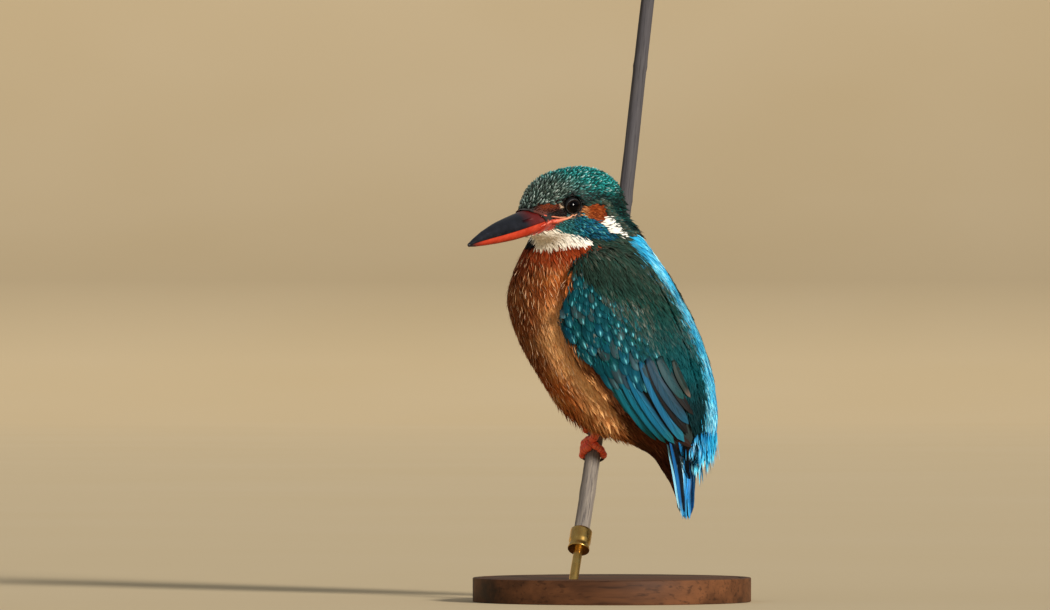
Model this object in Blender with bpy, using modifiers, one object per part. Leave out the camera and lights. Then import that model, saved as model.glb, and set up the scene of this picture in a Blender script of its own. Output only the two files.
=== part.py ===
"""Common kingfisher, an adult female at life size, gripping a cut length of dead stem on a plain display stand.

The frame is +Z up with its origin at the centre of the stand's underside. The bird's left side faces -Y, and its
bill points towards -X and -Y. Every size below is in metres: a number times MM is a length in millimetres.
"""

import math

import bmesh
import bpy
from mathutils import Matrix, Vector
from mathutils.bvhtree import BVHTree

MM = 0.001
GAP = 0.3 * MM
WELD = 0.002 * MM

# The body is modelled facing -X in a frame of its own, then turned about the vertical and set over the stem.
BODY_TURN = math.radians(-16)
BODY_PLACE = Vector((0, -4.3 * MM, 0))
# The head has its own frame: it looks well round to the bird's left, with the bill a little lowered.
HEAD_CENTRE = Vector((-12.9 * MM, -4.3 * MM, 130.4 * MM))
HEAD_TURN = math.radians(51)
HEAD_DIP = math.radians(10)
BILL_TURN = math.radians(55)
BILL_DIP = math.radians(12.8)

EYE_RADIUS = 3.2 * MM
STEM_RADIUS = 2.55 * MM
STEM_TOP_RADIUS = 2.2 * MM
TOE_RADIUS = 1.0 * MM
TARSUS_RADIUS = 1.25 * MM
# A toe lies this far off the stem, and a wing this far off the body.
TOE_STAND_OFF = 1.6 * GAP
WING_STAND_OFF = 2 * GAP

BASE_RADIUS = 46 * MM
BASE_HEIGHT = 8 * MM
ROD_RADIUS = 1.5 * MM
FERRULE_RADIUS = 3.6 * MM

LEFT, RIGHT = -1, 1
SIDE_NAMES = {LEFT: "left", RIGHT: "right"}

COLOURS = {
    "rufous_flesh": ((0.55, 0.22, 0.06), 0.8, 0.0),
    "green_flesh": ((0.02, 0.16, 0.17), 0.6, 0.0),
    "wing_green": ((0.02, 0.19, 0.21), 0.55, 0.0),
    "tail_blue": ((0.03, 0.28, 0.62), 0.5, 0.0),
    "bill_black": ((0.012, 0.012, 0.018), 0.35, 0.0),
    "bill_orange": ((0.62, 0.08, 0.02), 0.4, 0.0),
    "eye_dark": ((0.008, 0.006, 0.005), 0.05, 0.0),
    "foot_red": ((0.6, 0.06, 0.02), 0.45, 0.0),
    "claw_dark": ((0.03, 0.02, 0.02), 0.4, 0.0),
    "stem_grey": ((0.24, 0.2, 0.17), 0.85, 0.0),
    "stand_wood": ((0.09, 0.05, 0.03), 0.5, 0.0),
    "stand_brass": ((0.75, 0.55, 0.25), 0.3, 1.0),
}


# ---- helpers ----------------------------------------------------------------------------------------------------


def clear_scene():
    for obj in list(bpy.data.objects):
        bpy.data.objects.remove(obj)


def new_collection(name):
    made = bpy.data.collections.new(name)
    bpy.context.scene.collection.children.link(made)
    return made


def material(name):
    found = bpy.data.materials.get(name)
    if found:
        return found
    colour, roughness, metallic = COLOURS[name]
    made = bpy.data.materials.new(name)
    made.use_nodes = True
    shader = made.node_tree.nodes["Principled BSDF"]
    shader.inputs["Base Color"].default_value = (*colour, 1)
    shader.inputs["Roughness"].default_value = roughness
    shader.inputs["Metallic"].default_value = metallic
    return made


def object_of(name, mesh, collection, finish=None):
    obj = bpy.data.objects.new(name, mesh)
    collection.objects.link(obj)
    if finish:
        mesh.materials.clear()
        mesh.materials.append(material(finish))
    return obj


def helper_of(name, mesh):
    """A cutter or a guide: it is kept out of the render, so it is no part of the model."""
    obj = object_of(name, mesh, cutters)
    obj.hide_render = True
    obj.display_type = "WIRE"
    return obj


def closed_mesh(name, rings):
    """A loft: each ring of points is joined to the next, and both ends are closed with a flat face."""
    bm = bmesh.new()
    made = [[bm.verts.new(p) for p in ring] for ring in rings]
    count = len(rings[0])
    for ring, following in zip(made, made[1:]):
        for i in range(count):
            j = (i + 1) % count
            bm.faces.new((ring[i], ring[j], following[j], following[i]))
    bm.faces.new(made[0][::-1])
    bm.faces.new(made[-1])
    bmesh.ops.triangulate(bm, faces=[f for f in bm.faces if len(f.verts) > 4])
    bmesh.ops.recalc_face_normals(bm, faces=bm.faces)
    mesh = bpy.data.meshes.new(name)
    bm.to_mesh(mesh)
    bm.free()
    mesh.shade_smooth()
    return mesh


def eased(rows, per_span):
    """Rows of numbers, with per_span steps of a smooth curve between each row and the next (Catmull-Rom)."""
    out = []
    last = len(rows) - 1
    for i in range(last):
        a, b, c, d = rows[max(i - 1, 0)], rows[i], rows[i + 1], rows[min(i + 2, last)]
        for k in range(per_span):
            t = k / per_span
            out.append(
                [
                    0.5 * (2 * q + (r - p) * t + (2 * p - 5 * q + 4 * r - s) * t**2 + (3 * q - p - 3 * r + s) * t**3)
                    for p, q, r, s in zip(a, b, c, d)
                ]
            )
    return out + [list(rows[-1])]


def oval(count, power=2.0):
    """Unit points round an oval: power 2 is an ellipse, and more is squarer."""
    points = []
    for i in range(count):
        t = 2 * math.pi * i / count
        c, s = math.cos(t), math.sin(t)
        points.append((math.copysign(abs(c) ** (2 / power), c), math.copysign(abs(s) ** (2 / power), s)))
    return points


def frame(centre, turn, dip):
    """Axes of a piece that looks along its own +X: turned from -X towards -Y, then dipped. +Y is its left."""
    ahead = Vector((-math.cos(dip) * math.cos(turn), -math.cos(dip) * math.sin(turn), -math.sin(dip)))
    left = Vector((math.sin(turn), -math.cos(turn), 0))
    up = ahead.cross(left)
    axes = Matrix((ahead, left, up)).transposed().to_4x4()
    return Matrix.Translation(centre) @ axes


def apply_modifiers(obj):
    """Replaces the object's mesh by the one its modifiers make."""
    graph = bpy.context.evaluated_depsgraph_get()
    made = bpy.data.meshes.new_from_object(obj.evaluated_get(graph))
    obj.modifiers.clear()
    obj.data = made
    return obj


def boolean(obj, other, operation):
    modifier = obj.modifiers.new("cut", "BOOLEAN")
    modifier.object = other
    modifier.operation = operation
    return apply_modifiers(obj)


def mesh_of_curve(curve, name, collection, finish):
    """A curve made a mesh, with its loose caps welded, in the same place."""
    graph = bpy.context.evaluated_depsgraph_get()
    mesh = bpy.data.meshes.new_from_object(curve.evaluated_get(graph))
    bm = bmesh.new()
    bm.from_mesh(mesh)
    bmesh.ops.remove_doubles(bm, verts=bm.verts, dist=WELD)
    bmesh.ops.recalc_face_normals(bm, faces=bm.faces)
    bm.to_mesh(mesh)
    bm.free()
    obj = object_of(name, mesh, collection, finish)
    obj.matrix_world = curve.matrix_world
    bpy.data.objects.remove(curve)
    return obj


def tube(name, points, radii, collection, finish, sides=2):
    """A round tube through the points, with its own radius at each, as a mesh with closed ends."""
    data = bpy.data.curves.new(name, "CURVE")
    data.dimensions = "3D"
    data.bevel_depth = 1.0
    data.bevel_resolution = sides
    data.use_fill_caps = True
    spline = data.splines.new("POLY")
    spline.points.add(len(points) - 1)
    for at, place, radius in zip(spline.points, points, radii):
        at.co = (*place, 1)
        at.radius = radius
    curve = bpy.data.objects.new(name + "_line", data)
    collection.objects.link(curve)
    bpy.context.view_layer.update()
    return mesh_of_curve(curve, name, collection, finish)


def parted(obj, place, normal, above, below):
    """Cuts an object in two by a plane, with a gap, and caps both cuts. above is on the normal's side."""
    for name, side in ((above, 1), (below, -1)):
        bm = bmesh.new()
        bm.from_mesh(obj.data)
        cut = bmesh.ops.bisect_plane(
            bm,
            geom=bm.verts[:] + bm.edges[:] + bm.faces[:],
            plane_co=place + normal * side * GAP / 2,
            plane_no=normal * -side,
            clear_outer=True,
        )
        edges = [e for e in cut["geom_cut"] if isinstance(e, bmesh.types.BMEdge)]
        bmesh.ops.triangle_fill(bm, edges=edges, use_beauty=True, normal=normal * -side)
        bmesh.ops.recalc_face_normals(bm, faces=bm.faces)
        mesh = bpy.data.meshes.new(name)
        bm.to_mesh(mesh)
        bm.free()
        object_of(name, mesh, kingfisher, obj.data.materials[0].name)
    bpy.data.objects.remove(obj)
    return bpy.data.objects[above], bpy.data.objects[below]


# ---- stem and stand ---------------------------------------------------------------------------------------------

STEM_FOOT = -31 * MM
STEM_TOP = 151 * MM
GRIP = Vector((-5.9 * MM, 4.8 * MM, 50.5 * MM))


def stem_at(rise):
    """The stem's centre line: rise is the height above the bird's grip. It leans back and bends under the weight."""
    h = rise / MM
    across = (0.148 - 0.0003 * h + 0.0000009 * h * h) * h
    back = (0.605 - 0.0015 * h) * h
    return GRIP + Vector((across, back, h)) * MM


def stem_radius(rise):
    share = (rise - STEM_FOOT) / (STEM_TOP - STEM_FOOT)
    return STEM_RADIUS + (STEM_TOP_RADIUS - STEM_RADIUS) * share


def stem_frame(rise):
    """Along the stem, its upper side, and the side towards the bird's tail."""
    along = (stem_at(rise + 0.5 * MM) - stem_at(rise - 0.5 * MM)).normalized()
    up = Vector((0, 0, 1))
    upper = (up - along * up.dot(along)).normalized()
    return along, upper, along.cross(upper)


def make_stem():
    steps = 26
    rises = [STEM_FOOT + (STEM_TOP - STEM_FOOT) * i / steps for i in range(steps + 1)]
    tube(
        "perch_stem",
        [stem_at(r) for r in rises],
        [stem_radius(r) for r in rises],
        kingfisher,
        "stem_grey",
        sides=4,
    )


def part_feathers(body):
    """The belly feathers part round the stem: wide where the feet grip it, then close to it along the flank."""
    for name, low, high, room in (("foot", -10, 19, 2.4 * TOE_RADIUS + 4 * GAP), ("flank", 16, 62, 2 * GAP)):
        rises = [(low + (high - low) * i / 8) * MM for i in range(9)]
        cutter = tube(
            "room_" + name, [stem_at(r) for r in rises], [stem_radius(r) + room for r in rises], cutters, None, sides=3
        )
        cutter.hide_render = True
        boolean(body, cutter, "DIFFERENCE")


def make_stand():
    """A turned wooden base with a slanting hole, a brass rod in it, and a cup on the rod that holds the stem."""
    foot = stem_at(STEM_FOOT)
    along = stem_frame(STEM_FOOT)[0]

    def at(distance):
        return foot - along * distance

    cup_floor, cup_wall = 2.5 * MM, 5 * MM
    rod_top = at(cup_floor + GAP)
    rod_foot_depth = 4.5 * MM
    to_base = (rod_top.z - BASE_HEIGHT + rod_foot_depth) / along.z

    outer = tube(
        "stand_ferrule",
        [at(cup_floor), at(cup_floor - 0.7 * MM), at(0.7 * MM - cup_wall), at(-cup_wall)],
        [FERRULE_RADIUS - 0.6 * MM, FERRULE_RADIUS, FERRULE_RADIUS, FERRULE_RADIUS - 0.3 * MM],
        kingfisher,
        "stand_brass",
        sides=4,
    )
    bore = tube(
        "ferrule_bore", [at(GAP), at(-2 * cup_wall)], [STEM_RADIUS + GAP] * 2, cutters, None, sides=4
    )
    bore.hide_render = True
    boolean(outer, bore, "DIFFERENCE")

    tube(
        "stand_rod",
        [rod_top, rod_top - along * to_base],
        [ROD_RADIUS] * 2,
        kingfisher,
        "stand_brass",
        sides=3,
    )

    edge = 1.2 * MM
    profile = bmesh.new()
    outline = [
        (0, BASE_HEIGHT),
        (BASE_RADIUS - edge, BASE_HEIGHT),
        (BASE_RADIUS - 0.3 * edge, BASE_HEIGHT - 0.3 * edge),
        (BASE_RADIUS, BASE_HEIGHT - edge),
        (BASE_RADIUS, edge / 2),
        (BASE_RADIUS - edge / 2, 0),
        (0, 0),
    ]
    points = [profile.verts.new((x, 0, z)) for x, z in outline]
    for a, b in zip(points, points[1:]):
        profile.edges.new((a, b))
    mesh = bpy.data.meshes.new("stand_base")
    profile.to_mesh(mesh)
    profile.free()
    base = object_of("stand_base", mesh, kingfisher, "stand_wood")
    screw = base.modifiers.new("turned", "SCREW")
    screw.steps = screw.render_steps = 48
    screw.use_merge_vertices = True
    screw.merge_threshold = 0.00001
    apply_modifiers(base)
    base.data.materials.clear()
    base.data.materials.append(material("stand_wood"))
    hole = tube(
        "base_hole",
        [rod_top, rod_top - along * (to_base + GAP)],
        [ROD_RADIUS + GAP] * 2,
        cutters,
        None,
        sides=3,
    )
    hole.hide_render = True
    boolean(base, hole, "DIFFERENCE")


# ---- body -------------------------------------------------------------------------------------------------------

# Each station of the trunk, in the body's own frame and in millimetres: where its front edge and its back edge
# lie (x, z), and its half width. They run from inside the head, down the neck, breast and belly, to the vent.
TRUNK_STATIONS = [
    (-19.0, 130.0, -1.2, 133.0, 9.5),
    (-25.4, 124.0, 5.0, 126.6, 13.8),
    (-30.0, 116.9, 10.6, 119.4, 16.2),
    (-34.2, 108.6, 17.2, 111.4, 18.2),
    (-36.2, 99.8, 22.8, 101.8, 19.6),
    (-34.2, 91.0, 28.2, 92.1, 20.1),
    (-30.2, 82.0, 32.2, 82.2, 19.9),
    (-24.6, 73.0, 34.8, 73.4, 18.8),
    (-17.6, 63.2, 35.9, 65.7, 16.6),
    (-7.8, 56.6, 36.2, 59.1, 14.2),
    (3.4, 53.0, 35.6, 54.0, 12.2),
    (12.2, 49.0, 34.4, 49.8, 10.2),
    (16.2, 44.4, 33.4, 45.4, 8.4),
    (18.8, 39.8, 32.6, 40.8, 6.6),
    (22.4, 35.8, 31.2, 37.2, 3.4),
]

# Each station of the head, in the head's own frame and in millimetres: distance ahead of its centre, half width,
# height above and depth below the centre line. They run from the nape to the feathers at the bill's base.
HEAD_STATIONS = [
    (-20.4, 3.4, -1.0, 8.6),
    (-18.2, 7.2, 4.4, 11.4),
    (-13.8, 10.6, 9.4, 13.4),
    (-7.6, 13.0, 12.3, 14.0),
    (0.0, 13.8, 13.1, 13.6),
    (7.2, 13.0, 12.5, 12.0),
    (13.7, 10.6, 10.4, 9.8),
    (19.2, 7.7, 8.0, 8.1),
    (23.8, 5.6, 5.4, 6.6),
    (27.8, 3.8, 2.7, 5.4),
]
EYE_AT = (12.4, 10.2, 2.2)
EYE_SINK = 1.8 * MM
EYE_LEAN = 24
BODY_VOXEL = 0.9 * MM
BODY_TRIANGLES = 1880


def trunk_rings():
    rings = []
    for front_x, front_z, back_x, back_z, half in eased(TRUNK_STATIONS, 3):
        front, back = Vector((front_x, 0, front_z)), Vector((back_x, 0, back_z))
        middle, reach = (front + back) / 2, (back - front) / 2
        rings.append([(middle + reach * c + Vector((0, half * s, 0))) * MM for c, s in oval(28, 2.15)])
    return rings


def head_rings():
    rings = []
    for ahead, half, above, below in eased(HEAD_STATIONS, 3):
        rings.append(
            [Vector((ahead, half * c, (above if s > 0 else below) * s)) * MM for c, s in oval(28, 2.2)]
        )
    return rings


def body_frame():
    return Matrix.Translation(BODY_PLACE) @ Matrix.Rotation(BODY_TURN, 4, "Z")


def head_frame():
    return frame(HEAD_CENTRE, HEAD_TURN, HEAD_DIP)


def make_body():
    """Head, neck and trunk as one closed form, still whole: the cuts come after what sits in it is carved out."""
    body = object_of("body", closed_mesh("body", trunk_rings()), kingfisher, "rufous_flesh")
    body.data.transform(body_frame())
    head = helper_of("head_form", closed_mesh("head_form", head_rings()))
    head.data.transform(head_frame())
    boolean(body, head, "UNION")
    remesh = body.modifiers.new("one_skin", "REMESH")
    remesh.mode = "VOXEL"
    remesh.voxel_size = BODY_VOXEL
    smooth = body.modifiers.new("eased", "SMOOTH")
    smooth.iterations = 12
    apply_modifiers(body)
    fewer = body.modifiers.new("fewer", "DECIMATE")
    fewer.ratio = BODY_TRIANGLES / (2 * len(body.data.polygons))
    return apply_modifiers(body)


# ---- bill and eyes ----------------------------------------------------------------------------------------------

# Each station of the bill, in its own frame and in millimetres: distance ahead of the feathers at the culmen,
# height of the culmen, height of the edge where the two halves meet, depth of the gonys, and half width.
BILL_STATIONS = [
    (-9.5, 0.6, -2.4, -6.2, 7.4),
    (-4.4, 1.2, -2.7, -6.5, 6.5),
    (0.0, 1.2, -3.0, -6.7, 5.3),
    (8.8, 1.15, -3.2, -6.45, 4.0),
    (17.6, 0.75, -3.05, -5.65, 2.9),
    (25.4, -0.3, -2.8, -4.7, 1.9),
    (30.6, -1.5, -2.75, -3.9, 1.15),
    (34.3, -2.5, -2.85, -3.2, 0.45),
]
CULMEN_BASE = (24.9, 0.0, 1.7)


def bill_frame():
    base = head_frame() @ (Vector(CULMEN_BASE) * MM)
    return frame(base, BILL_TURN, BILL_DIP)


def bill_rings(halves, spread=0.0):
    """Rings of the bill, or of one half of it. spread makes it larger all over, for the socket in the head."""
    rings = []
    rows = eased(BILL_STATIONS, 3)
    rows[0][0] -= 2 * spread / MM
    rows[-1][0] += 2 * spread / MM
    parting = 0 if len(halves) == 2 else GAP / 2
    for ahead, top, edge, bottom, half in rows:
        ring = []
        for sign, tall in halves_of(halves, top - edge, edge - bottom):
            turns = range(9) if sign > 0 else range(8, -1, -1)
            for i in turns if len(halves) == 1 else list(turns)[:-1]:
                t = math.pi * i / 8
                across = (half * MM + spread) * math.cos(t)
                rise = (tall * MM + spread) * max(math.sin(t), 0) ** 0.8
                ring.append(Vector((ahead * MM, across, edge * MM + sign * (rise + parting))))
        rings.append(ring)
    return rings


def halves_of(halves, above, below):
    return [(1, above) if half == "upper" else (-1, below) for half in halves]


def make_bill(body):
    socket = helper_of("bill_socket", closed_mesh("bill_socket", bill_rings(("upper", "lower"), GAP)))
    socket.data.transform(bill_frame())
    boolean(body, socket, "DIFFERENCE")
    for half, finish in (("upper", "bill_black"), ("lower", "bill_orange")):
        name = "bill_" + half
        made = object_of(name, closed_mesh(name, bill_rings((half,))), kingfisher, finish)
        made.data.transform(bill_frame())


def eye_centre(side):
    """A little way under the skin, square to the side of the face where it narrows towards the bill."""
    ahead, out, up = (x * MM for x in EYE_AT)
    lean = math.radians(EYE_LEAN)
    square = Vector((math.sin(lean), math.cos(lean), 0.05)).normalized()
    place = Vector((ahead, out, up)) - square * EYE_SINK
    return head_frame() @ Vector((place.x, -side * place.y, place.z))


def ball(name, centre, radius, collection, finish=None):
    bm = bmesh.new()
    bmesh.ops.create_uvsphere(bm, u_segments=18, v_segments=10, radius=radius)
    bmesh.ops.translate(bm, verts=bm.verts, vec=centre)
    mesh = bpy.data.meshes.new(name)
    bm.to_mesh(mesh)
    bm.free()
    mesh.shade_smooth()
    return object_of(name, mesh, collection, finish)


def make_eyes(body):
    for side, word in SIDE_NAMES.items():
        socket = ball("socket_" + word, eye_centre(side), EYE_RADIUS + GAP, cutters)
        socket.hide_render = True
        boolean(body, socket, "DIFFERENCE")
        ball("eye_" + word, eye_centre(side), EYE_RADIUS, kingfisher, "eye_dark")


# ---- tail -------------------------------------------------------------------------------------------------------

# Each station of the closed tail, in the body's frame and in millimetres: its middle (x, z), half its thickness
# and half its width.
TAIL_STATIONS = [
    (25.2, 52.5, 1.4, 5.2),
    (24.9, 45.9, 1.5, 6.6),
    (24.9, 39.3, 1.4, 7.6),
    (25.4, 32.7, 1.1, 7.4),
    (25.9, 26.9, 0.7, 4.6),
]
# How far the outer feathers sink below the middle ones, in millimetres.
TAIL_DROOP = 0.8


def make_tail(body):
    def rings(spread):
        made = []
        for x, z, thick, half in eased(TAIL_STATIONS, 3):
            ring = []
            for c, s in oval(16, 3.0):
                droop = TAIL_DROOP * abs(s) ** 2
                ring.append(Vector(((x - droop + (thick + spread) * c), (half + spread) * s, z)) * MM)
            made.append(ring)
        return made

    cutter = helper_of("tail_slot", closed_mesh("tail_slot", rings(GAP / MM)))
    cutter.data.transform(body_frame())
    boolean(body, cutter, "DIFFERENCE")
    tail = object_of("tail", closed_mesh("tail", rings(0)), kingfisher, "tail_blue")
    tail.data.transform(body_frame())


# ---- wings ------------------------------------------------------------------------------------------------------

# Each station of the folded wing, in the body's frame and in millimetres, from the shoulder to the tip: its lower
# edge (x, z), its upper edge (x, z), and how far it stands off the body.
WING_STATIONS = [
    (-6.1, 113.7, 5.0, 116.9, 1.3),
    (-9.5, 108.6, 12.6, 112.3, 2.6),
    (-11.2, 99.8, 19.4, 102.4, 3.3),
    (-10.6, 89.9, 24.8, 91.7, 3.5),
    (-7.5, 80.4, 29.0, 80.7, 3.3),
    (-1.5, 71.2, 31.6, 70.8, 3.0),
    (6.6, 63.1, 32.4, 62.4, 2.4),
    (15.8, 56.2, 31.9, 55.4, 1.8),
    (24.2, 51.0, 30.6, 50.7, 1.1),
]
WING_ACROSS = 8
# A ray that finds the body's side starts this far out, in millimetres.
RAY_START = 60


def make_wing(body, side):
    """A panel laid on the body's side, a gap away from it, and thickened outwards along the body's own slope."""
    to_body = body_frame()
    away = to_body.to_3x3() @ Vector((0, side, 0))
    bm = bmesh.new()
    inner, outer = [], []
    tree = BVHTree.FromPolygons([v.co for v in body.data.vertices], [p.vertices for p in body.data.polygons])
    for low_x, low_z, high_x, high_z, stand in eased(WING_STATIONS, 2):
        for row in (inner, outer):
            row.append([])
        for i in range(WING_ACROSS + 1):
            share = i / WING_ACROSS
            x = low_x + (high_x - low_x) * share
            z = low_z + (high_z - low_z) * share
            start = to_body @ (Vector((x, side * RAY_START, z)) * MM)
            hit, normal, _, _ = tree.ray_cast(start, -away)
            crown = math.sin(math.pi * (0.14 + 0.79 * share)) ** 0.7
            inner[-1].append(bm.verts.new(hit + normal * WING_STAND_OFF))
            outer[-1].append(bm.verts.new(hit + normal * (WING_STAND_OFF + stand * crown * MM)))
    rows, across = len(inner), WING_ACROSS + 1
    for grid in (inner, outer):
        for r in range(rows - 1):
            for i in range(across - 1):
                bm.faces.new((grid[r][i], grid[r][i + 1], grid[r + 1][i + 1], grid[r + 1][i]))
    rim_in = inner[0] + [r[-1] for r in inner[1:-1]] + inner[-1][::-1] + [r[0] for r in inner[-2:0:-1]]
    rim_out = outer[0] + [r[-1] for r in outer[1:-1]] + outer[-1][::-1] + [r[0] for r in outer[-2:0:-1]]
    for i in range(len(rim_in)):
        j = (i + 1) % len(rim_in)
        bm.faces.new((rim_in[i], rim_in[j], rim_out[j], rim_out[i]))
    bmesh.ops.recalc_face_normals(bm, faces=bm.faces)
    mesh = bpy.data.meshes.new("wing")
    bm.to_mesh(mesh)
    bm.free()
    mesh.shade_smooth()
    return object_of("wing_" + SIDE_NAMES[side], mesh, kingfisher, "wing_green")


# ---- legs -------------------------------------------------------------------------------------------------------

# How far up the stem from the grip each foot stands, and where its shank meets the belly.
FOOT_RISE = {LEFT: 0.6 * MM, RIGHT: 8.4 * MM}
HIP = {LEFT: Vector((-2.9, -3.5, 60.8)) * MM, RIGHT: Vector((0.7, 4.8, 66.8)) * MM}
# Each toe: its name, the way it goes round the stem, where it starts along the stem, its drop along the stem as
# it goes round, and how far round it reaches.
TOES = [
    ("inner", -1, -2.1, 1.6, 104),
    ("middle", -1, 0.0, 1.9, 122),
    ("outer", -1, 2.1, 2.0, 116),
    ("hind", 1, -0.4, 2.6, 88),
]
CLAW_LENGTH = 3.0 * MM
CLAW_ROOT, CLAW_TIP = 0.62 * MM, 0.15 * MM
LEG_VOXEL = 0.28 * MM
LEG_TRIANGLES_KEPT = 0.05


def round_stem(rise, way, start, drop, degrees, off):
    """A point on a path that goes round the stem from its upper side: off is its distance from the stem's skin."""
    share = degrees / 140
    at = rise + (start - drop * share) * MM
    _, upper, side = stem_frame(at)
    turn = math.radians(degrees)
    out = upper * math.cos(turn) + side * (way * math.sin(turn))
    return stem_at(at) + out * (stem_radius(at) + off)


def make_leg(body, side):
    """A short shank and four toes, three ahead and one behind, joined into one piece by a fine remesh."""
    word = SIDE_NAMES[side]
    rise = FOOT_RISE[side]
    ball_of_foot = round_stem(rise, 1, 0, 0, 0, TOE_RADIUS * 1.35 + TOE_STAND_OFF)
    shank = [HIP[side], (HIP[side] + ball_of_foot) / 2, ball_of_foot]
    deeper = shank[0] + (shank[0] - shank[1]).normalized() * 2 * GAP
    socket = tube("hip_" + word, [deeper, *shank[1:]], [TARSUS_RADIUS + 2 * GAP] * 3, cutters, None)
    socket.hide_render = True
    boolean(body, socket, "DIFFERENCE")
    pieces = [tube("shank", shank, [TARSUS_RADIUS, TARSUS_RADIUS, TARSUS_RADIUS * 1.15], kingfisher, "foot_red")]
    for name, way, start, drop, reach in TOES:
        off = TOE_RADIUS + TOE_STAND_OFF
        steps = 9
        path = [ball_of_foot]
        radii = [TOE_RADIUS * 1.25]
        for i in range(1, steps + 1):
            path.append(round_stem(rise, way, start, drop, reach * i / steps, off))
            radii.append(TOE_RADIUS * (1.08 - 0.2 * i / steps))
        pieces.append(tube(name, path, radii, kingfisher, "foot_red"))
        make_claw(side, rise, name, way, start, drop, reach)
    leg = pieces[0]
    bm = bmesh.new()
    for piece in pieces:
        bm.from_mesh(piece.data)
    bm.to_mesh(leg.data)
    bm.free()
    for piece in pieces[1:]:
        bpy.data.objects.remove(piece)
    leg.name = "leg_" + word
    remesh = leg.modifiers.new("joined", "REMESH")
    remesh.mode = "VOXEL"
    remesh.voxel_size = LEG_VOXEL
    smooth = leg.modifiers.new("eased", "SMOOTH")
    smooth.iterations = 3
    fewer = leg.modifiers.new("fewer", "DECIMATE")
    fewer.ratio = LEG_TRIANGLES_KEPT
    apply_modifiers(leg)
    keep_one_body(leg)
    return leg


def keep_one_body(obj):
    """Deletes the specks that a remesh can leave beside the main body."""
    bm = bmesh.new()
    bm.from_mesh(obj.data)
    left = set(bm.verts)
    bodies = []
    while left:
        body, edge = set(), [left.pop()]
        while edge:
            vert = edge.pop()
            body.add(vert)
            near = {e.other_vert(vert) for e in vert.link_edges} & left
            left -= near
            edge += near
        bodies.append(body)
    specks = [v for body in sorted(bodies, key=len)[:-1] for v in body]
    bmesh.ops.delete(bm, geom=specks, context="VERTS")
    bm.to_mesh(obj.data)
    bm.free()


def make_claw(side, rise, name, way, start, drop, reach):
    """A curved horn point that carries on round the stem from its toe."""
    steps = 5
    turn = math.degrees(CLAW_LENGTH / (STEM_RADIUS + TOE_RADIUS))
    first = reach + math.degrees((0.9 * TOE_RADIUS + GAP) / (STEM_RADIUS + TOE_RADIUS))
    path, radii = [], []
    for i in range(steps + 1):
        share = i / steps
        off = TOE_RADIUS * (1.15 - 0.45 * share) + GAP
        path.append(round_stem(rise, way, start, drop, first + turn * share, off))
        radii.append(CLAW_ROOT + (CLAW_TIP - CLAW_ROOT) * share)
    tube(f"claw_{SIDE_NAMES[side]}_{name}", path, radii, kingfisher, "claw_dark", sides=1)


# ---- the whole bird ---------------------------------------------------------------------------------------------

HEAD_CUT = (Vector((-8.8 * MM, 0, 119.0 * MM)), Vector((0.06, 0.0, 1)).normalized())
NECK_CUT = (Vector((-6.6 * MM, 0, 110.0 * MM)), Vector((-0.1, 0.0, 1)).normalized())


def main():
    make_stem()
    make_stand()
    body = make_body()
    for side in (LEFT, RIGHT):
        make_wing(body, side)
    make_bill(body)
    make_eyes(body)
    make_tail(body)
    part_feathers(body)
    for side in (LEFT, RIGHT):
        make_leg(body, side)
    head, rest = parted(body, *HEAD_CUT, "head", "rest")
    parted(rest, *NECK_CUT, "neck", "trunk")


clear_scene()
kingfisher = new_collection("kingfisher")
cutters = new_collection("cutters")
main()
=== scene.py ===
"""Looks of a common kingfisher, an adult female at life size, on a cut stem and a plain display stand.

Every size below is in metres: a number times MM is a length in millimetres. The bird's left side faces -Y.
"""

import math

import bmesh
import bpy
import numpy as np
from mathutils import Matrix, Vector
from mathutils.bvhtree import BVHTree


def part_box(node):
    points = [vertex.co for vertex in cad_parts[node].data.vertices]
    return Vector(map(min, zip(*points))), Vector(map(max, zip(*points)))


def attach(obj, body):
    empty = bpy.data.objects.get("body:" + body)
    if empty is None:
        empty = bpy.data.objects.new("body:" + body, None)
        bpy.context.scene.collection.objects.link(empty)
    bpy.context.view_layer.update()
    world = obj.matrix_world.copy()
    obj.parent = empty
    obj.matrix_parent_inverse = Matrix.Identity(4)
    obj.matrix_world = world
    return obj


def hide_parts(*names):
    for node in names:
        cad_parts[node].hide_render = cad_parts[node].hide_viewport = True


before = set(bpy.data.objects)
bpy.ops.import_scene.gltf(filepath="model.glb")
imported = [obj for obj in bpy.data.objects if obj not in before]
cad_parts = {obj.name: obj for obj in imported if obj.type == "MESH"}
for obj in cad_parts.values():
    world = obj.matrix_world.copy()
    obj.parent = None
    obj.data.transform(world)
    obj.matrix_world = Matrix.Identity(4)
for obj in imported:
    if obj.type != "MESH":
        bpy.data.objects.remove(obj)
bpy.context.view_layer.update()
MM = 0.001


# ---- Display base --------------------------------------------------------------------------------
# A disc of dark walnut, turned on a lathe with a shallow cove inside its rim, then oiled. It stands
# flat on its underside, and the brass rod is let into its top.

base_low, base_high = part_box("stand_base")
base_radius = (base_high.x - base_low.x) / 2
RIM_WIDTH, COVE_WIDTH, COVE_DEPTH = 2.4 * MM, 0.9 * MM, 0.5 * MM


def paint(code):
    """A colour written as #rrggbb, as the linear numbers that shaders and colour attributes take."""
    parts = [int(code[i : i + 2], 16) / 255 for i in (1, 3, 5)]
    linear = [p / 12.92 if p <= 0.04045 else ((p + 0.055) / 1.055) ** 2.4 for p in parts]
    return (*linear, 1)


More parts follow.
